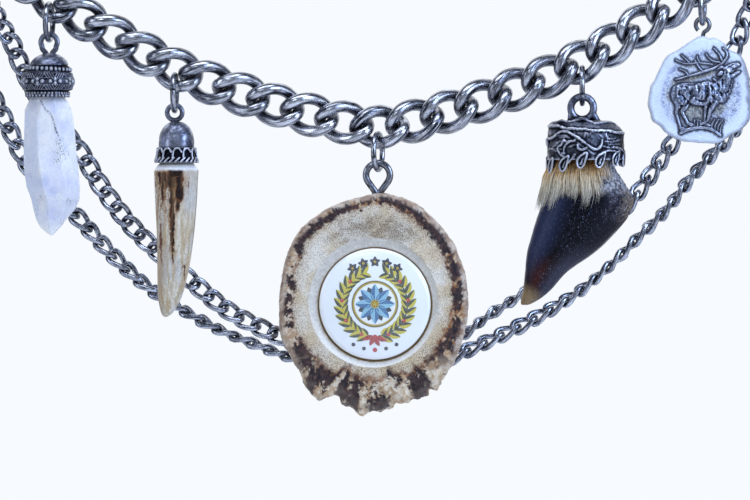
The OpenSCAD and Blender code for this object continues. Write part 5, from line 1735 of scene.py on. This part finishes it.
def horn():
    rows = curve(np.array(CLAW_ROWS), 170)
    a = np.linspace(0, 360, HORN_SIDES, endpoint=False)
    points = np.concatenate([on_oval(rows, a, row[0]) for row in rows])
    angle = np.tile(a, len(rows))
    x, y, z = points.T
    mid, half, deep = oval_at(rows, z)
    out = unit(np.stack([(x - mid) / half ** 2, y / deep ** 2, 0 * z], -1) + [1e-9, 0, 0])
    lines = noise(np.column_stack([angle * 0.28, z * 0.05, 0 * z]), 3) - 0.5
    wave = noise(points * 0.22 + 3, 3) - 0.5
    grit = noise(points * 1.5 + 8, 3)
    fine_grit = noise(points * 3.2 + 18, 2)
    edge = (x - mid) / half
    crust = smooth(0.30, 0.62, edge + 0.35 * (grit - 0.5))
    crust = crust * smooth(-26.5, -22.5, z + 2.2 * (edge - 0.8)) * smooth(-13.0, -14.5, z)
    crust = np.maximum(crust, smooth(-19.5, -17.0, z) * smooth(0.1, 0.4, edge) * 0.8)
    under = smooth(-20.5, -17.5, z + 1.5 * (grit - 0.5))
    relief = 0.05 * lines + 0.30 * wave * smooth(-15, -22, z)
    relief = relief + crust * (0.55 * (grit - 0.5) + 0.35 * (fine_grit - 0.5))
    points = points + relief[:, None] * out
    fuzzy = noise(points * [3.2, 3.2, 1.8], 3)
    paint = horn_paint(edge, z, wave, lines, grit, fine_grit, crust, under, fuzzy)
    band = np.exp(-((edge - 0.02) / 0.2) ** 2)
    speck = np.clip(0.25 + 0.35 * band + 0.9 * crust, 0, 1) * (1 - under * 0.6)
    dull = np.clip(0.15 + 0.8 * np.maximum(crust, under), 0, 1)
    shape = Shape().add(points, tube_faces(len(rows), HORN_SIDES), paint=paint, dull=dull, speck=speck)
    charm_piece("hoof_horn", shape, horn_look(), "hoof", "hoof_claw")


HAIRS = 3000
HAIR_POINTS = 5
CLUMPS = 80
FRONT_SHARE = 0.68
DARK_SHARE = 0.09


def fur_tuft():
    """Hairs laid over the horn from under the cap, in loose clumps, pale at their tips."""
    draw = np.random.default_rng(SEED + 50)
    front = draw.random(HAIRS) < FRONT_SHARE
    angle = np.where(front, draw.uniform(42, 188, HAIRS), draw.uniform(-172, -30, HAIRS))
    clumps = draw.uniform(-175, 190, CLUMPS)
    reach = draw.uniform(0.7, 1.25, CLUMPS)
    own = np.abs(clumps[None] - angle[:, None]).argmin(1)
    nearest = clumps[own]
    root_z = draw.uniform(-13.4, -10.8, HAIRS)
    over = draw.random(HAIRS) ** 1.3
    side = np.cos(np.radians(angle))
    length = draw.normal(7.0, 1.1, HAIRS) * reach[own] * (1 - 0.62 * smooth(0.1, 0.8, side))
    length = np.clip(length + smooth(-0.2, -0.9, side), 1.6, 10.5)
    t = np.linspace(0, 1, HAIR_POINTS)
    lean = (draw.normal(0, 3.0, HAIRS) + 3.0 + smooth(0.2, -0.9, side)) * np.where(angle > 0, 1, -1)
    pull = (nearest - angle) * draw.uniform(0.5, 1.0, HAIRS)
    curl = draw.normal(0, 1.0, HAIRS)
    turn = angle[:, None] + lean[:, None] * t ** 1.3 + pull[:, None] * t ** 1.6
    turn = turn + curl[:, None] * np.sin(2.6 * t)
    z = root_z[:, None] - length[:, None] * (t * (1 - 0.04 * t))[None]
    lift = 0.12 + over[:, None] * (0.7 + 0.35 * np.sin(np.pi * t)) + draw.normal(0, 0.05, HAIRS)[:, None]
    line = on_oval(CLAW_ROWS, turn.ravel(), z.ravel(), lift.ravel()).reshape(HAIRS, HAIR_POINTS, 3)
    line[:, :, 0] -= smooth(0.0, -1.0, side)[:, None] * t ** 2 * 0.15
    way = unit(np.gradient(line, axis=1))
    side_way = unit(np.cross(way, np.array([0.3, 1, 0.1])))
    other = np.cross(way, side_way)
    size = draw.uniform(0.05, 0.085, HAIRS)[:, None] * np.interp(t, [0, 0.5, 1], [1, 0.8, 0.15])
    size = size[..., None]
    corners = [line + size * (side_way * c + other * s) for c, s in way_at(once_round(3))]
    points = np.stack(corners, 2).reshape(-1, 3)
    base = (np.arange(HAIRS) * HAIR_POINTS * 3)[:, None, None]
    r = (np.arange(HAIR_POINTS - 1) * 3)[None, :, None]
    c = np.arange(3)[None, None, :]
    c1 = (c + 1) % 3
    quads = np.stack([base + r + c, base + r + c1, base + r + 3 + c1, base + r + 3 + c], -1).reshape(-1, 4)
    caps = np.concatenate([base[:, 0] + [2, 1, 0], base[:, 0] + (HAIR_POINTS - 1) * 3 + [0, 1, 2]])
    brown, gold = srgb(150, 100, 54), srgb(228, 182, 118)
    cream, grey = srgb(246, 232, 204), srgb(236, 230, 216)
    kind = draw.random(HAIRS)[:, None]
    down = np.clip((-z - 12.2) / 8.0, 0, 1)
    tone = mix(brown, gold, smooth(0.0, 0.22, down + 0.2 * (kind - 0.5)))
    tone = mix(tone, cream, smooth(0.25, 0.62, down + 0.35 * (kind - 0.5)))
    tone = mix(tone, grey, smooth(0.62, 0.95, down + 0.2 * (kind - 0.5)))
    whiter = np.broadcast_to(smooth(0.35, 0.9, side)[:, None], down.shape)
    tone = mix(tone, srgb(214, 214, 218), whiter * 0.85)
    tone = tone * draw.uniform(0.72, 1.12, HAIRS)[:, None, None]
    dark = (draw.random(HAIRS) < DARK_SHARE)[:, None, None]
    tone = np.where(dark, tone * 0.35, tone)
    paint = np.repeat(tone[:, :, None], 3, 2).reshape(-1, 3)
    shape = Shape().add(points, [quads, caps], paint=np.clip(paint, 0, 1))
    charm_piece("hoof_fur_hairs", shape, fur_look(), "hoof", "hoof_fur")


def fur_look():
    look = Look("fur_look")
    fine = look.noise(look.place((3.0, 3.0, 0.6)), 3, 0.6)
    tone = look.mixed(0.25, look.colour("paint"), look.ramp(fine, (0.3, 0.6), (0.7, 1.0)), "MULTIPLY")
    return look.finish(Base_Color=tone, Roughness=look.ramp(fine, (0.3, 0.5), (0.7, 0.36)),
                       Normal=look.bump(fine, 0.2, 0.02))


cast_cap()
horn()
fur_tuft()

# Stag slice, measured from its pivot under the jump ring
SLICE_OUTLINE = [
    (-0.9, -2.9), (-2.7, -3.9), (-5.4, -5.8), (-7.1, -6.6), (-8.4, -8), (-9.2, -9.6), (-10.4, -12.2),
    (-11.3, -13.9), (-11.8, -17.3), (-11.3, -19.5), (-10.8, -21.1), (-9.3, -22.1), (-7.6, -23.9),
    (-4.2, -25.4), (0, -25.8), (3.4, -25.8), (5.4, -24.5), (8.4, -22.8), (10.2, -20.6), (10.3, -17),
    (10.1, -12.6), (9.7, -10.3), (8.9, -8.1), (7.8, -6.6), (5.8, -5.7), (4.5, -4.2), (2.5, -3.1),
    (1.4, -3.3), (0.2, -2.8)]
SLICE_T = 5
SLICE_MIDDLE = np.array([-0.8, -15])
# The porous middle's edge: x, z
PORE_OUTLINE = [
    (-3.2, -6.3), (0.5, -5.7), (3.8, -6.4), (6.2, -9.5), (8.2, -13.6), (8.4, -17.0), (7.2, -20.0),
    (4.5, -22.0), (0, -23.0), (-5.0, -22.2), (-7.8, -20.4), (-9.0, -17.5), (-9.2, -14.5), (-7.6, -10.5),
    (-5.6, -7.8)]
# Where glue and grime show olive: x, z, reach along, reach across, lean in degrees, strength
OLIVE_PATCHES = [
    (-1.4, -11.4, 4.4, 0.85, 14, 1.0), (-2.5, -9.0, 2.2, 0.7, 0, 0.55),
    (-1.6, -19.4, 3.2, 1.9, 0, 0.75), (3.4, -18.6, 1.6, 1.3, 30, 0.7), (-5.4, -12.6, 1.6, 0.7, 20, 0.6),
    (-7.6, -15.5, 0.5, 1.6, 0, 0.4)]


SLICE_SECTORS = 440


def slice_paint(points, far, pore_reach, grit, tiny, porous):
    """Colours of the sawn slice's face, and where it is olive and dotted."""
    x, y, z = points.T
    p = points * [1, 0.6, 1]
    band = smooth(-2.6, -0.3, far - pore_reach) * porous
    paint = mix(srgb(206, 220, 250), srgb(224, 236, 254), noise(p * 0.5 + 5, 3))
    paler = smooth(2.6, 0.2, far - pore_reach) * 0.5 * noise(p * 0.4 + 1, 2)
    paint = mix(paint, srgb(196, 206, 234), paler)
    middle = mix(srgb(198, 208, 232), srgb(152, 164, 202), smooth(0.38, 0.62, grit))
    middle = mix(middle, srgb(124, 136, 178), smooth(0.52, 0.62, tiny) * (0.35 + 0.5 * band))
    middle = mix(middle, srgb(214, 224, 240), smooth(0.50, 0.40, tiny) * 0.5)
    paint = mix(paint, middle, porous * (0.62 + 0.38 * band))
    olive = np.zeros(len(points))
    for ox, oz, along, across, lean, strength in OLIVE_PATCHES:
        c, s = way_at(np.radians(lean))
        u, v = (x - ox) * c + (z - oz) * s, -(x - ox) * s + (z - oz) * c
        away = np.hypot(u / along, v / across) + 0.5 * (grit - 0.5)
        olive = np.maximum(olive, strength * smooth(1.25, 0.6, away))
    olive = olive * (y < 0)
    paint = mix(paint, mix(srgb(136, 134, 112), srgb(112, 108, 82), smooth(0.4, 0.6, grit)), olive * 0.9)
    paint = mix(paint, srgb(206, 206, 190), olive * smooth(0.60, 0.70, tiny) * 0.8)
    dots = smooth(0.665, 0.72, noise(p * 3.1 + 33, 2)) * porous * smooth(-10, 4, x - 0.6 * z - 12)
    return mix(paint, srgb(62, 58, 66), np.clip(dots, 0, 0.85)), olive, dots


def slice_bark(points, side, inward):
    """The bark's colour, and how much of it shows."""
    x, z = points[:, 0], points[:, 2]
    p = points * [1, 0.6, 1]
    ragged = 0.5 * (noise(p * 1.3 + 44, 3) - 0.5)
    bark = np.maximum(smooth(0.3, 0.1, inward + ragged), side ** 0.5 * (inward < 0.45))
    bark = bark * (0.25 + 0.5 * smooth(2, 8, x))
    right = smooth(7.2, 9.0, x) * smooth(-23.5, -21, z) * smooth(-4.5, -7.0, z)
    bark = np.maximum(bark, 0.7 * right * smooth(1.25, 0.5, inward + 1.6 * ragged))
    return mix(srgb(118, 112, 128), srgb(72, 60, 66), smooth(0.40, 0.60, noise(p * 0.9 + 55, 3))), bark


def limb_gap(points, side):
    """How far the slice's face lies from the nearest limb of the stag."""
    x, y, z = points.T
    gap = np.full(len(points), FAR_AWAY)
    front = np.flatnonzero((y < 0) & (side < 0.5))
    for limb in STAG_LIMBS:
        line = curve(np.array(limb, float), 24)
        flat = on_slice(line[:, 0], line[:, 1])
        away = np.hypot(x[front, None] - flat[None, :, 0], z[front, None] - flat[None, :, 1])
        gap[front] = np.minimum(gap[front], (away - limb_size(line[:, 2])).min(1))
    return gap


def antler_slice():
    angle = once_round(SLICE_SECTORS)
    reach = outline_reach(SLICE_OUTLINE, SLICE_MIDDLE, angle)
    inner = SLICE_MIDDLE + way_at(angle) * 0.02
    points, normals, inward = sawn_points(SLICE_MIDDLE, reach, angle, inner, 52, SLICE_T, 14, 6)
    x, y, z = points.T
    pore_reach = np.tile(outline_reach(PORE_OUTLINE, SLICE_MIDDLE, angle), len(points) // SLICE_SECTORS)
    far = np.hypot(x - SLICE_MIDDLE[0], z - SLICE_MIDDLE[1])
    p = points * [1, 0.6, 1]
    grit = noise(p * 0.9, 3)
    tiny = noise(p * 2.6 + 9, 2)
    porous = smooth(0.55, -0.9, far - pore_reach + 1.4 * (grit - 0.5))
    paint, olive, dots = slice_paint(points, far, pore_reach, grit, tiny, porous)
    side = np.hypot(normals[:, 0], normals[:, 2])
    paint = mix(paint, *slice_bark(points, side, inward))
    gap = limb_gap(points, side)
    # Painted shadow: the face is painted near-black navy close round the stag and in the gaps between its
    # limbs and grass blades.
    paint = mix(paint, srgb(14, 18, 42), smooth(0.62, 0.2, gap + 0.5 * (tiny - 0.5)) * 0.95)
    rough = smooth(0.9, 0.1, inward)
    height = 0.30 * (noise(points * 0.9 + 66, 3) - 0.5) + 0.22 * (noise(points * 2.4 + 76, 2) - 0.5)
    height = rough * height - 0.10 * porous * smooth(0.45, 0.7, tiny) - 0.16 * dots
    points = points + height[:, None] * normals
    faces = [grid_faces(len(points) // SLICE_SECTORS, SLICE_SECTORS), np.arange(SLICE_SECTORS)[None]]
    speck = np.clip(0.35 * porous + 0.6 * olive + 0.5 * smooth(1.8, 0.2, gap) * porous, 0, 1)
    shape = Shape().add(points, faces, paint=np.clip(paint, 0, 1), speck=speck)
    look = painted_look("slice_look", 0.5, (2.6, 2.6, 2.6), 0.22, 0.07, 0.05, 0.4, 0.0, srgb(84, 84, 104))
    charm_piece("antler_slice_sawn", shape, look, "antler_slice", "antler_slice")


def hook_pin():
    """The slice's wire eye: up from its pin on the right, over the top, and down the left to a cut end."""
    thickness, radius = 0.95, 1.5
    middle = eye_drop(radius, thickness)
    arc = circle_path(middle, radius, -74, 304, 56)
    foot = np.array([middle + [0.06, 0, -4.4], middle + [0.06, 0, -2.4], middle + [0.16, 0, -1.85]])
    path = eased(resample(np.vstack([foot, arc]), 80, False), 4)
    points, faces, grain = wire(path, thickness / 2, 14, False, FLAT_END)
    inside = smooth(radius, radius - 0.4, np.hypot(points[:, 0], points[:, 2] - middle[2]))
    shape = Shape().add(points, faces, grain=grain, recess=np.clip(0.2 + 0.6 * inside, 0, 0.85))
    charm_piece("slice_eye_wire", shape, RING_SILVER, "antler_slice", "slice_eye")


# The stag is drawn on a fine grid: its step in millimetres, and its corner from the slice's pivot
GRID_STEP = 0.01654
GRID_X, GRID_Z = -10.277, -1.415
THINNEST_LIMB = 0.15
# Its limbs: across, down, radius
STAG_LIMBS = [
    [(285, 795, 72), (360, 800, 88), (440, 825, 112), (520, 842, 140), (610, 842, 152), (700, 826, 152),
     (790, 848, 122), (850, 872, 84)],
    [(310, 770, 62), (262, 820, 56), (250, 885, 42), (290, 960, 34), (310, 1010, 26)],
    [(740, 800, 112), (820, 780, 108), (878, 722, 92), (918, 650, 74), (945, 585, 56)],
    [(690, 700, 34), (700, 760, 40), (740, 830, 40)],
    [(935, 560, 52), (975, 530, 46), (1010, 500, 36), (1050, 470, 26), (1085, 458, 20)],
    [(960, 600, 42), (1000, 598, 32), (1045, 572, 22), (1092, 552, 15)],
    [(905, 520, 30), (960, 480, 24), (1020, 448, 16), (1080, 440, 12)],
    [(905, 555, 16), (870, 560, 32), (835, 580, 30), (808, 598, 10)],
    [(900, 500, 14), (860, 488, 22), (825, 505, 14), (806, 516, 6)],
    [(290, 830, 82), (335, 915, 66), (385, 955, 50), (392, 1005, 36), (352, 1055, 27), (366, 1110, 22),
     (400, 1170, 20), (425, 1215, 21), (470, 1240, 26)],
    [(262, 900, 44), (290, 985, 32), (276, 1075, 20), (292, 1150, 16), (315, 1230, 16), (335, 1290, 20),
     (375, 1305, 20)],
    [(775, 930, 62), (752, 985, 44), (712, 1060, 31), (700, 1120, 22), (676, 1185, 19), (640, 1212, 20),
     (600, 1230, 16)],
    [(660, 1000, 30), (650, 1080, 17), (645, 1150, 15), (640, 1200, 15)],
    [(650, 1225, 16), (690, 1245, 20), (720, 1255, 12)],
    [(800, 482, 14), (740, 512, 16), (620, 548, 16), (520, 582, 14), (420, 606, 13), (340, 632, 11),
     (265, 652, 8)],
    [(612, 538, 14), (565, 482, 12), (518, 402, 8)],
    [(430, 600, 12), (398, 552, 10), (322, 514, 8)],
    [(800, 482, 14), (850, 452, 16), (902, 402, 16), (936, 340, 14), (930, 290, 11), (884, 244, 8)],
    [(868, 402, 14), (850, 350, 13), (818, 300, 10), (764, 242, 8)],
    [(838, 424, 13), (760, 410, 13), (700, 370, 10), (664, 318, 8)],
    [(740, 452, 12), (650, 442, 11), (560, 432, 10), (460, 442, 10), (360, 436, 9), (268, 396, 8)],
    [(440, 424, 9), (390, 376, 8), (344, 336, 8)],
    [(576, 424, 10), (556, 388, 9), (548, 352, 8)],
    [(334, 1345, 20), (400, 1312, 23), (500, 1286, 21), (600, 1278, 19), (700, 1290, 20), (780, 1325, 22),
     (850, 1376, 17)],
    [(735, 1290, 12), (742, 1225, 11), (772, 1175, 8)],
    [(775, 1310, 13), (785, 1240, 12), (828, 1170, 8)],
    [(812, 1335, 13), (824, 1255, 12), (878, 1178, 8)],
    [(845, 1360, 12), (850, 1290, 10), (872, 1240, 8)],
    [(500, 1275, 11), (512, 1180, 8)], [(548, 1270, 11), (556, 1172, 8)], [(590, 1270, 11), (584, 1182, 8)],
    [(470, 1280, 12), (452, 1215, 9)], [(630, 1275, 10), (660, 1215, 8)],
    [(350, 1320, 24), (342, 1285, 18), (380, 1290, 14)],
    [(950, 690, 16), (990, 725, 13), (962, 770, 10)], [(940, 760, 16), (972, 800, 12), (940, 840, 9)],
    [(915, 820, 16), (945, 865, 12), (915, 905, 9)], [(880, 880, 16), (905, 925, 12), (870, 955, 9)],
    [(985, 640, 14), (1000, 680, 11), (975, 715, 8)],
    [(500, 950, 14), (520, 985, 9)], [(545, 955, 14), (560, 992, 9)], [(590, 955, 14), (604, 990, 9)],
    [(620, 950, 12), (640, 985, 9)], [(760, 640, 14), (800, 680, 16), (850, 705, 12)],
    [(735, 690, 14), (790, 745, 17), (870, 775, 12)],
    [(300, 715, 12), (400, 712, 16), (520, 712, 16), (600, 700, 12)]]
# Folds worked into its body: lists of across, down, half width
STAG_FOLDS = [
    [(398, 740, 10), (436, 790, 22), (462, 860, 28), (440, 930, 20), (400, 985, 12)],
    [(312, 790, 8), (300, 850, 12)],
    [(520, 900, 12), (580, 925, 20), (640, 930, 14)], [(552, 738, 8), (566, 780, 16), (556, 830, 10)],
    [(632, 705, 10), (664, 770, 22), (672, 840, 26), (650, 900, 18)], [(612, 860, 8), (600, 900, 12)],
    [(724, 720, 8), (742, 770, 14), (728, 810, 8)], [(742, 860, 10), (768, 905, 20), (752, 955, 12)],
    [(812, 700, 8), (828, 760, 18), (806, 830, 12)], [(868, 640, 8), (880, 690, 16), (866, 740, 10)],
    [(850, 810, 10), (868, 860, 16)], [(1010, 516, 10), (1050, 506, 14), (1090, 510, 12)],
    [(960, 570, 7), (1000, 572, 9), (1050, 556, 7)], [(905, 520, 7), (930, 540, 9), (925, 575, 7)],
    [(366, 870, 8), (380, 920, 14), (370, 965, 8)]]


def on_slice(across, down):
    return np.stack([GRID_X + GRID_STEP * across, GRID_Z - GRID_STEP * down], -1)


def limb_size(radius):
    return np.maximum(radius * GRID_STEP, THINNEST_LIMB)


LIMB_SIDES = 14
STAG_VOXEL = 0.11


def stag():
    shape = Shape()
    for limb in STAG_LIMBS:
        count = max(8, len(limb) * 7)
        line = curve(np.array(limb, float), count)
        size = limb_size(line[:, 2])
        squash = mix(1.0, 0.44, smooth(0.35, 1.6, size))
        low = -SLICE_T / 2 - 0.12 - 0.3 * size * squash
        path = facing(on_slice(line[:, 0], line[:, 1]), 0)
        points, faces, grain = wire(path, size, LIMB_SIDES, False, ROUND_END)
        ends = len(ROUND_END)
        flatten, level = (np.pad(a, ends, "edge").repeat(LIMB_SIDES) for a in (squash, low))
        points[:, 1] = np.minimum(points[:, 1] * flatten + level, -SLICE_T / 2 + 0.06)
        shape.add(points, faces)
    points, faces = fused(shape, STAG_VOXEL, 1)
    x, y, z = points.T
    height = -SLICE_T / 2 - y
    folds = np.zeros(len(points))
    sway = 0.5 * (noise(points * 1.1 + 3, 3) - 0.5)
    for fold in STAG_FOLDS:
        line = curve(np.array(fold, float), 26)
        flat = on_slice(line[:, 0], line[:, 1])
        away = np.hypot(x[:, None] + sway[:, None] - flat[None, :, 0], z[:, None] - flat[None, :, 1])
        folds = np.maximum(folds, smooth(1.7, 0.4, away / (line[:, 2] * GRID_STEP)).max(1))
    fleece = noise(points * [1.3, 0.6, 0.9] + 13, 4) - 0.5
    body = smooth(0.35, 0.8, height)
    points[:, 1] += body * (0.14 * folds + 0.6 * fleece) * smooth(0.3, 0.9, height)
    dip = hollows(points, faces, 14)
    edge = smooth(0.42, 0.08, height)
    thin = 0.35 * smooth(0.75, 0.45, height)
    recess = np.clip(0.36 + thin + 0.9 * edge + 0.25 * body * folds + 8 * dip, 0, 0.97)
    polish = np.clip(-9 * dip - 0.12, 0, 1) * (1 - edge) * (1 - thin)
    cast = Shape().add(points, faces, grain=points * [0.8, 0.8, 0.8], recess=recess, polish=polish)
    charm_piece("stag_relief_cast", cast, STAG_SILVER, "antler_slice", "stag_relief")


STAG_SILVER = silver_look("stag_silver_look", srgb(44, 50, 76), srgb(176, 188, 220), (1.2, 1.2, 1.2),
                          (0.24, 0.42), 0.3, 0.4)
antler_slice()
hook_pin()
stag()

# Floor, light and camera


def staging():
    floor_mesh = bpy.data.meshes.new("floor")
    ring = np.radians(np.arange(0, 360, 5))
    rim = np.column_stack([way_at(ring), 0 * ring]) * FLOOR_RADIUS + FLOOR_MIDDLE
    floor_mesh.from_pydata((rim * MM).tolist(), [], [list(range(len(rim)))])
    floor = bpy.data.objects.new("floor", floor_mesh)
    bpy.context.scene.collection.objects.link(floor)
    look = Look("floor_look")
    floor.data.materials.append(look.finish(Base_Color=(0.86, 0.87, 0.89), Roughness=0.8))


FLOOR_RADIUS = 1000
FLOOR_MIDDLE = np.array([119.9, 0, -260])
# The camera looks level at the middle of the photographed stretch; the frame is this wide at the chain
FRAME_WIDTH = 162
VIEW_MIDDLE = np.array([119.9, 0, -97])
VIEW_DISTANCE = 2400
SENSOR = 36


def camera():
    data = bpy.data.cameras.new("camera")
    data.sensor_width = SENSOR
    data.lens = SENSOR * VIEW_DISTANCE / FRAME_WIDTH
    data.clip_start, data.clip_end = 0.01, 20
    obj = bpy.data.objects.new("camera", data)
    obj.location = (VIEW_MIDDLE - [0, VIEW_DISTANCE, 0]) * MM
    obj.rotation_euler = (np.pi / 2, 0, 0)
    bpy.context.scene.collection.objects.link(obj)
    bpy.context.scene.camera = obj


LIGHT_COLOUR, COOL_COLOUR = (0.80, 0.88, 1.0), (0.50, 0.68, 1.0)
# Soft boxes: place and size in millimetres, power in watts, colour, and how far right of the middle
# each is aimed
LIGHTS = {
    "top": ((0, -250, 650), (800, 300), 3.6, LIGHT_COLOUR, 0),
    "left": ((-650, -350, 150), (250, 500), 0.9, LIGHT_COLOUR, 0),
    "right": ((650, -350, 150), (250, 500), 1.0, LIGHT_COLOUR, 0),
    "right_end": ((230, -190, 130), (120, 160), 0.5, COOL_COLOUR, 126.5),
    "front": ((-150, -900, 450), (350, 120), 0.8, LIGHT_COLOUR, 0)}


def lights():
    for name, (place, size, power, colour, aim) in LIGHTS.items():
        data = bpy.data.lights.new(name, "AREA")
        data.shape, data.size, data.size_y = "RECTANGLE", size[0] * MM, size[1] * MM
        data.energy, data.color = power, colour
        obj = bpy.data.objects.new(name, data)
        obj.location = (VIEW_MIDDLE + place) * MM
        bpy.context.scene.collection.objects.link(obj)
        look_at(obj, (VIEW_MIDDLE + [aim, 0, 0]) * MM)


def look_at(obj, target):
    obj.rotation_euler = (Vector(target) - obj.location).to_track_quat("-Z", "Y").to_euler()


def world():
    """A white studio behind the chain, grey on the viewer's side, which gives the metal its dark parts."""
    made = bpy.data.worlds.new("studio")
    bpy.context.scene.world = made
    made.use_nodes = True
    tree = made.node_tree
    back = tree.nodes["Background"]
    way = tree.nodes.new("ShaderNodeTexCoord").outputs["Generated"]
    split = tree.nodes.new("ShaderNodeSeparateXYZ")
    tree.links.new(way, split.inputs[0])
    half = tree.nodes.new("ShaderNodeMath")
    half.operation = "MULTIPLY_ADD"
    half.inputs[1].default_value = half.inputs[2].default_value = 0.5
    tree.links.new(split.outputs["Y"], half.inputs[0])
    ramp = tree.nodes.new("ShaderNodeValToRGB")
    ramp.color_ramp.interpolation = "EASE"
    while len(ramp.color_ramp.elements) < len(STUDIO):
        ramp.color_ramp.elements.new(0.5)
    for element, (place, light) in zip(ramp.color_ramp.elements, STUDIO):
        element.position, element.color = place, (*light, 1)
    tree.links.new(half.outputs[0], ramp.inputs["Fac"])
    tree.links.new(ramp.outputs[0], back.inputs["Color"])
    # A little brighter from above than from below
    height = tree.nodes.new("ShaderNodeMath")
    height.operation = "MULTIPLY_ADD"
    height.inputs[1].default_value, height.inputs[2].default_value = STUDIO_RISE, 1.0
    tree.links.new(split.outputs["Z"], height.inputs[0])
    tree.links.new(height.outputs[0], back.inputs["Strength"])
    # What is seen behind the chain itself is one plain white, from every side
    plain = tree.nodes.new("ShaderNodeBackground")
    plain.inputs["Color"].default_value = (*STUDIO[-1][1], 1)
    seen = tree.nodes.new("ShaderNodeLightPath").outputs["Is Camera Ray"]
    either = tree.nodes.new("ShaderNodeMixShader")
    tree.links.new(seen, either.inputs[0])
    tree.links.new(back.outputs[0], either.inputs[1])
    tree.links.new(plain.outputs[0], either.inputs[2])
    tree.links.new(either.outputs[0], tree.nodes["World Output"].inputs["Surface"])


# How bright the studio is from the viewer's side (0) round to the side behind the chain (1)
STUDIO = [
    (0.0, (0.25, 0.28, 0.33)), (0.11, (0.21, 0.235, 0.28)), (0.24, (0.012, 0.014, 0.022)),
    (0.62, (0.010, 0.012, 0.022)), (0.77, (0.93, 0.962, 1.0))]
STUDIO_RISE = 0.5

staging()
camera()
lights()
world()
bpy.context.scene.view_settings.view_transform = "Standard"
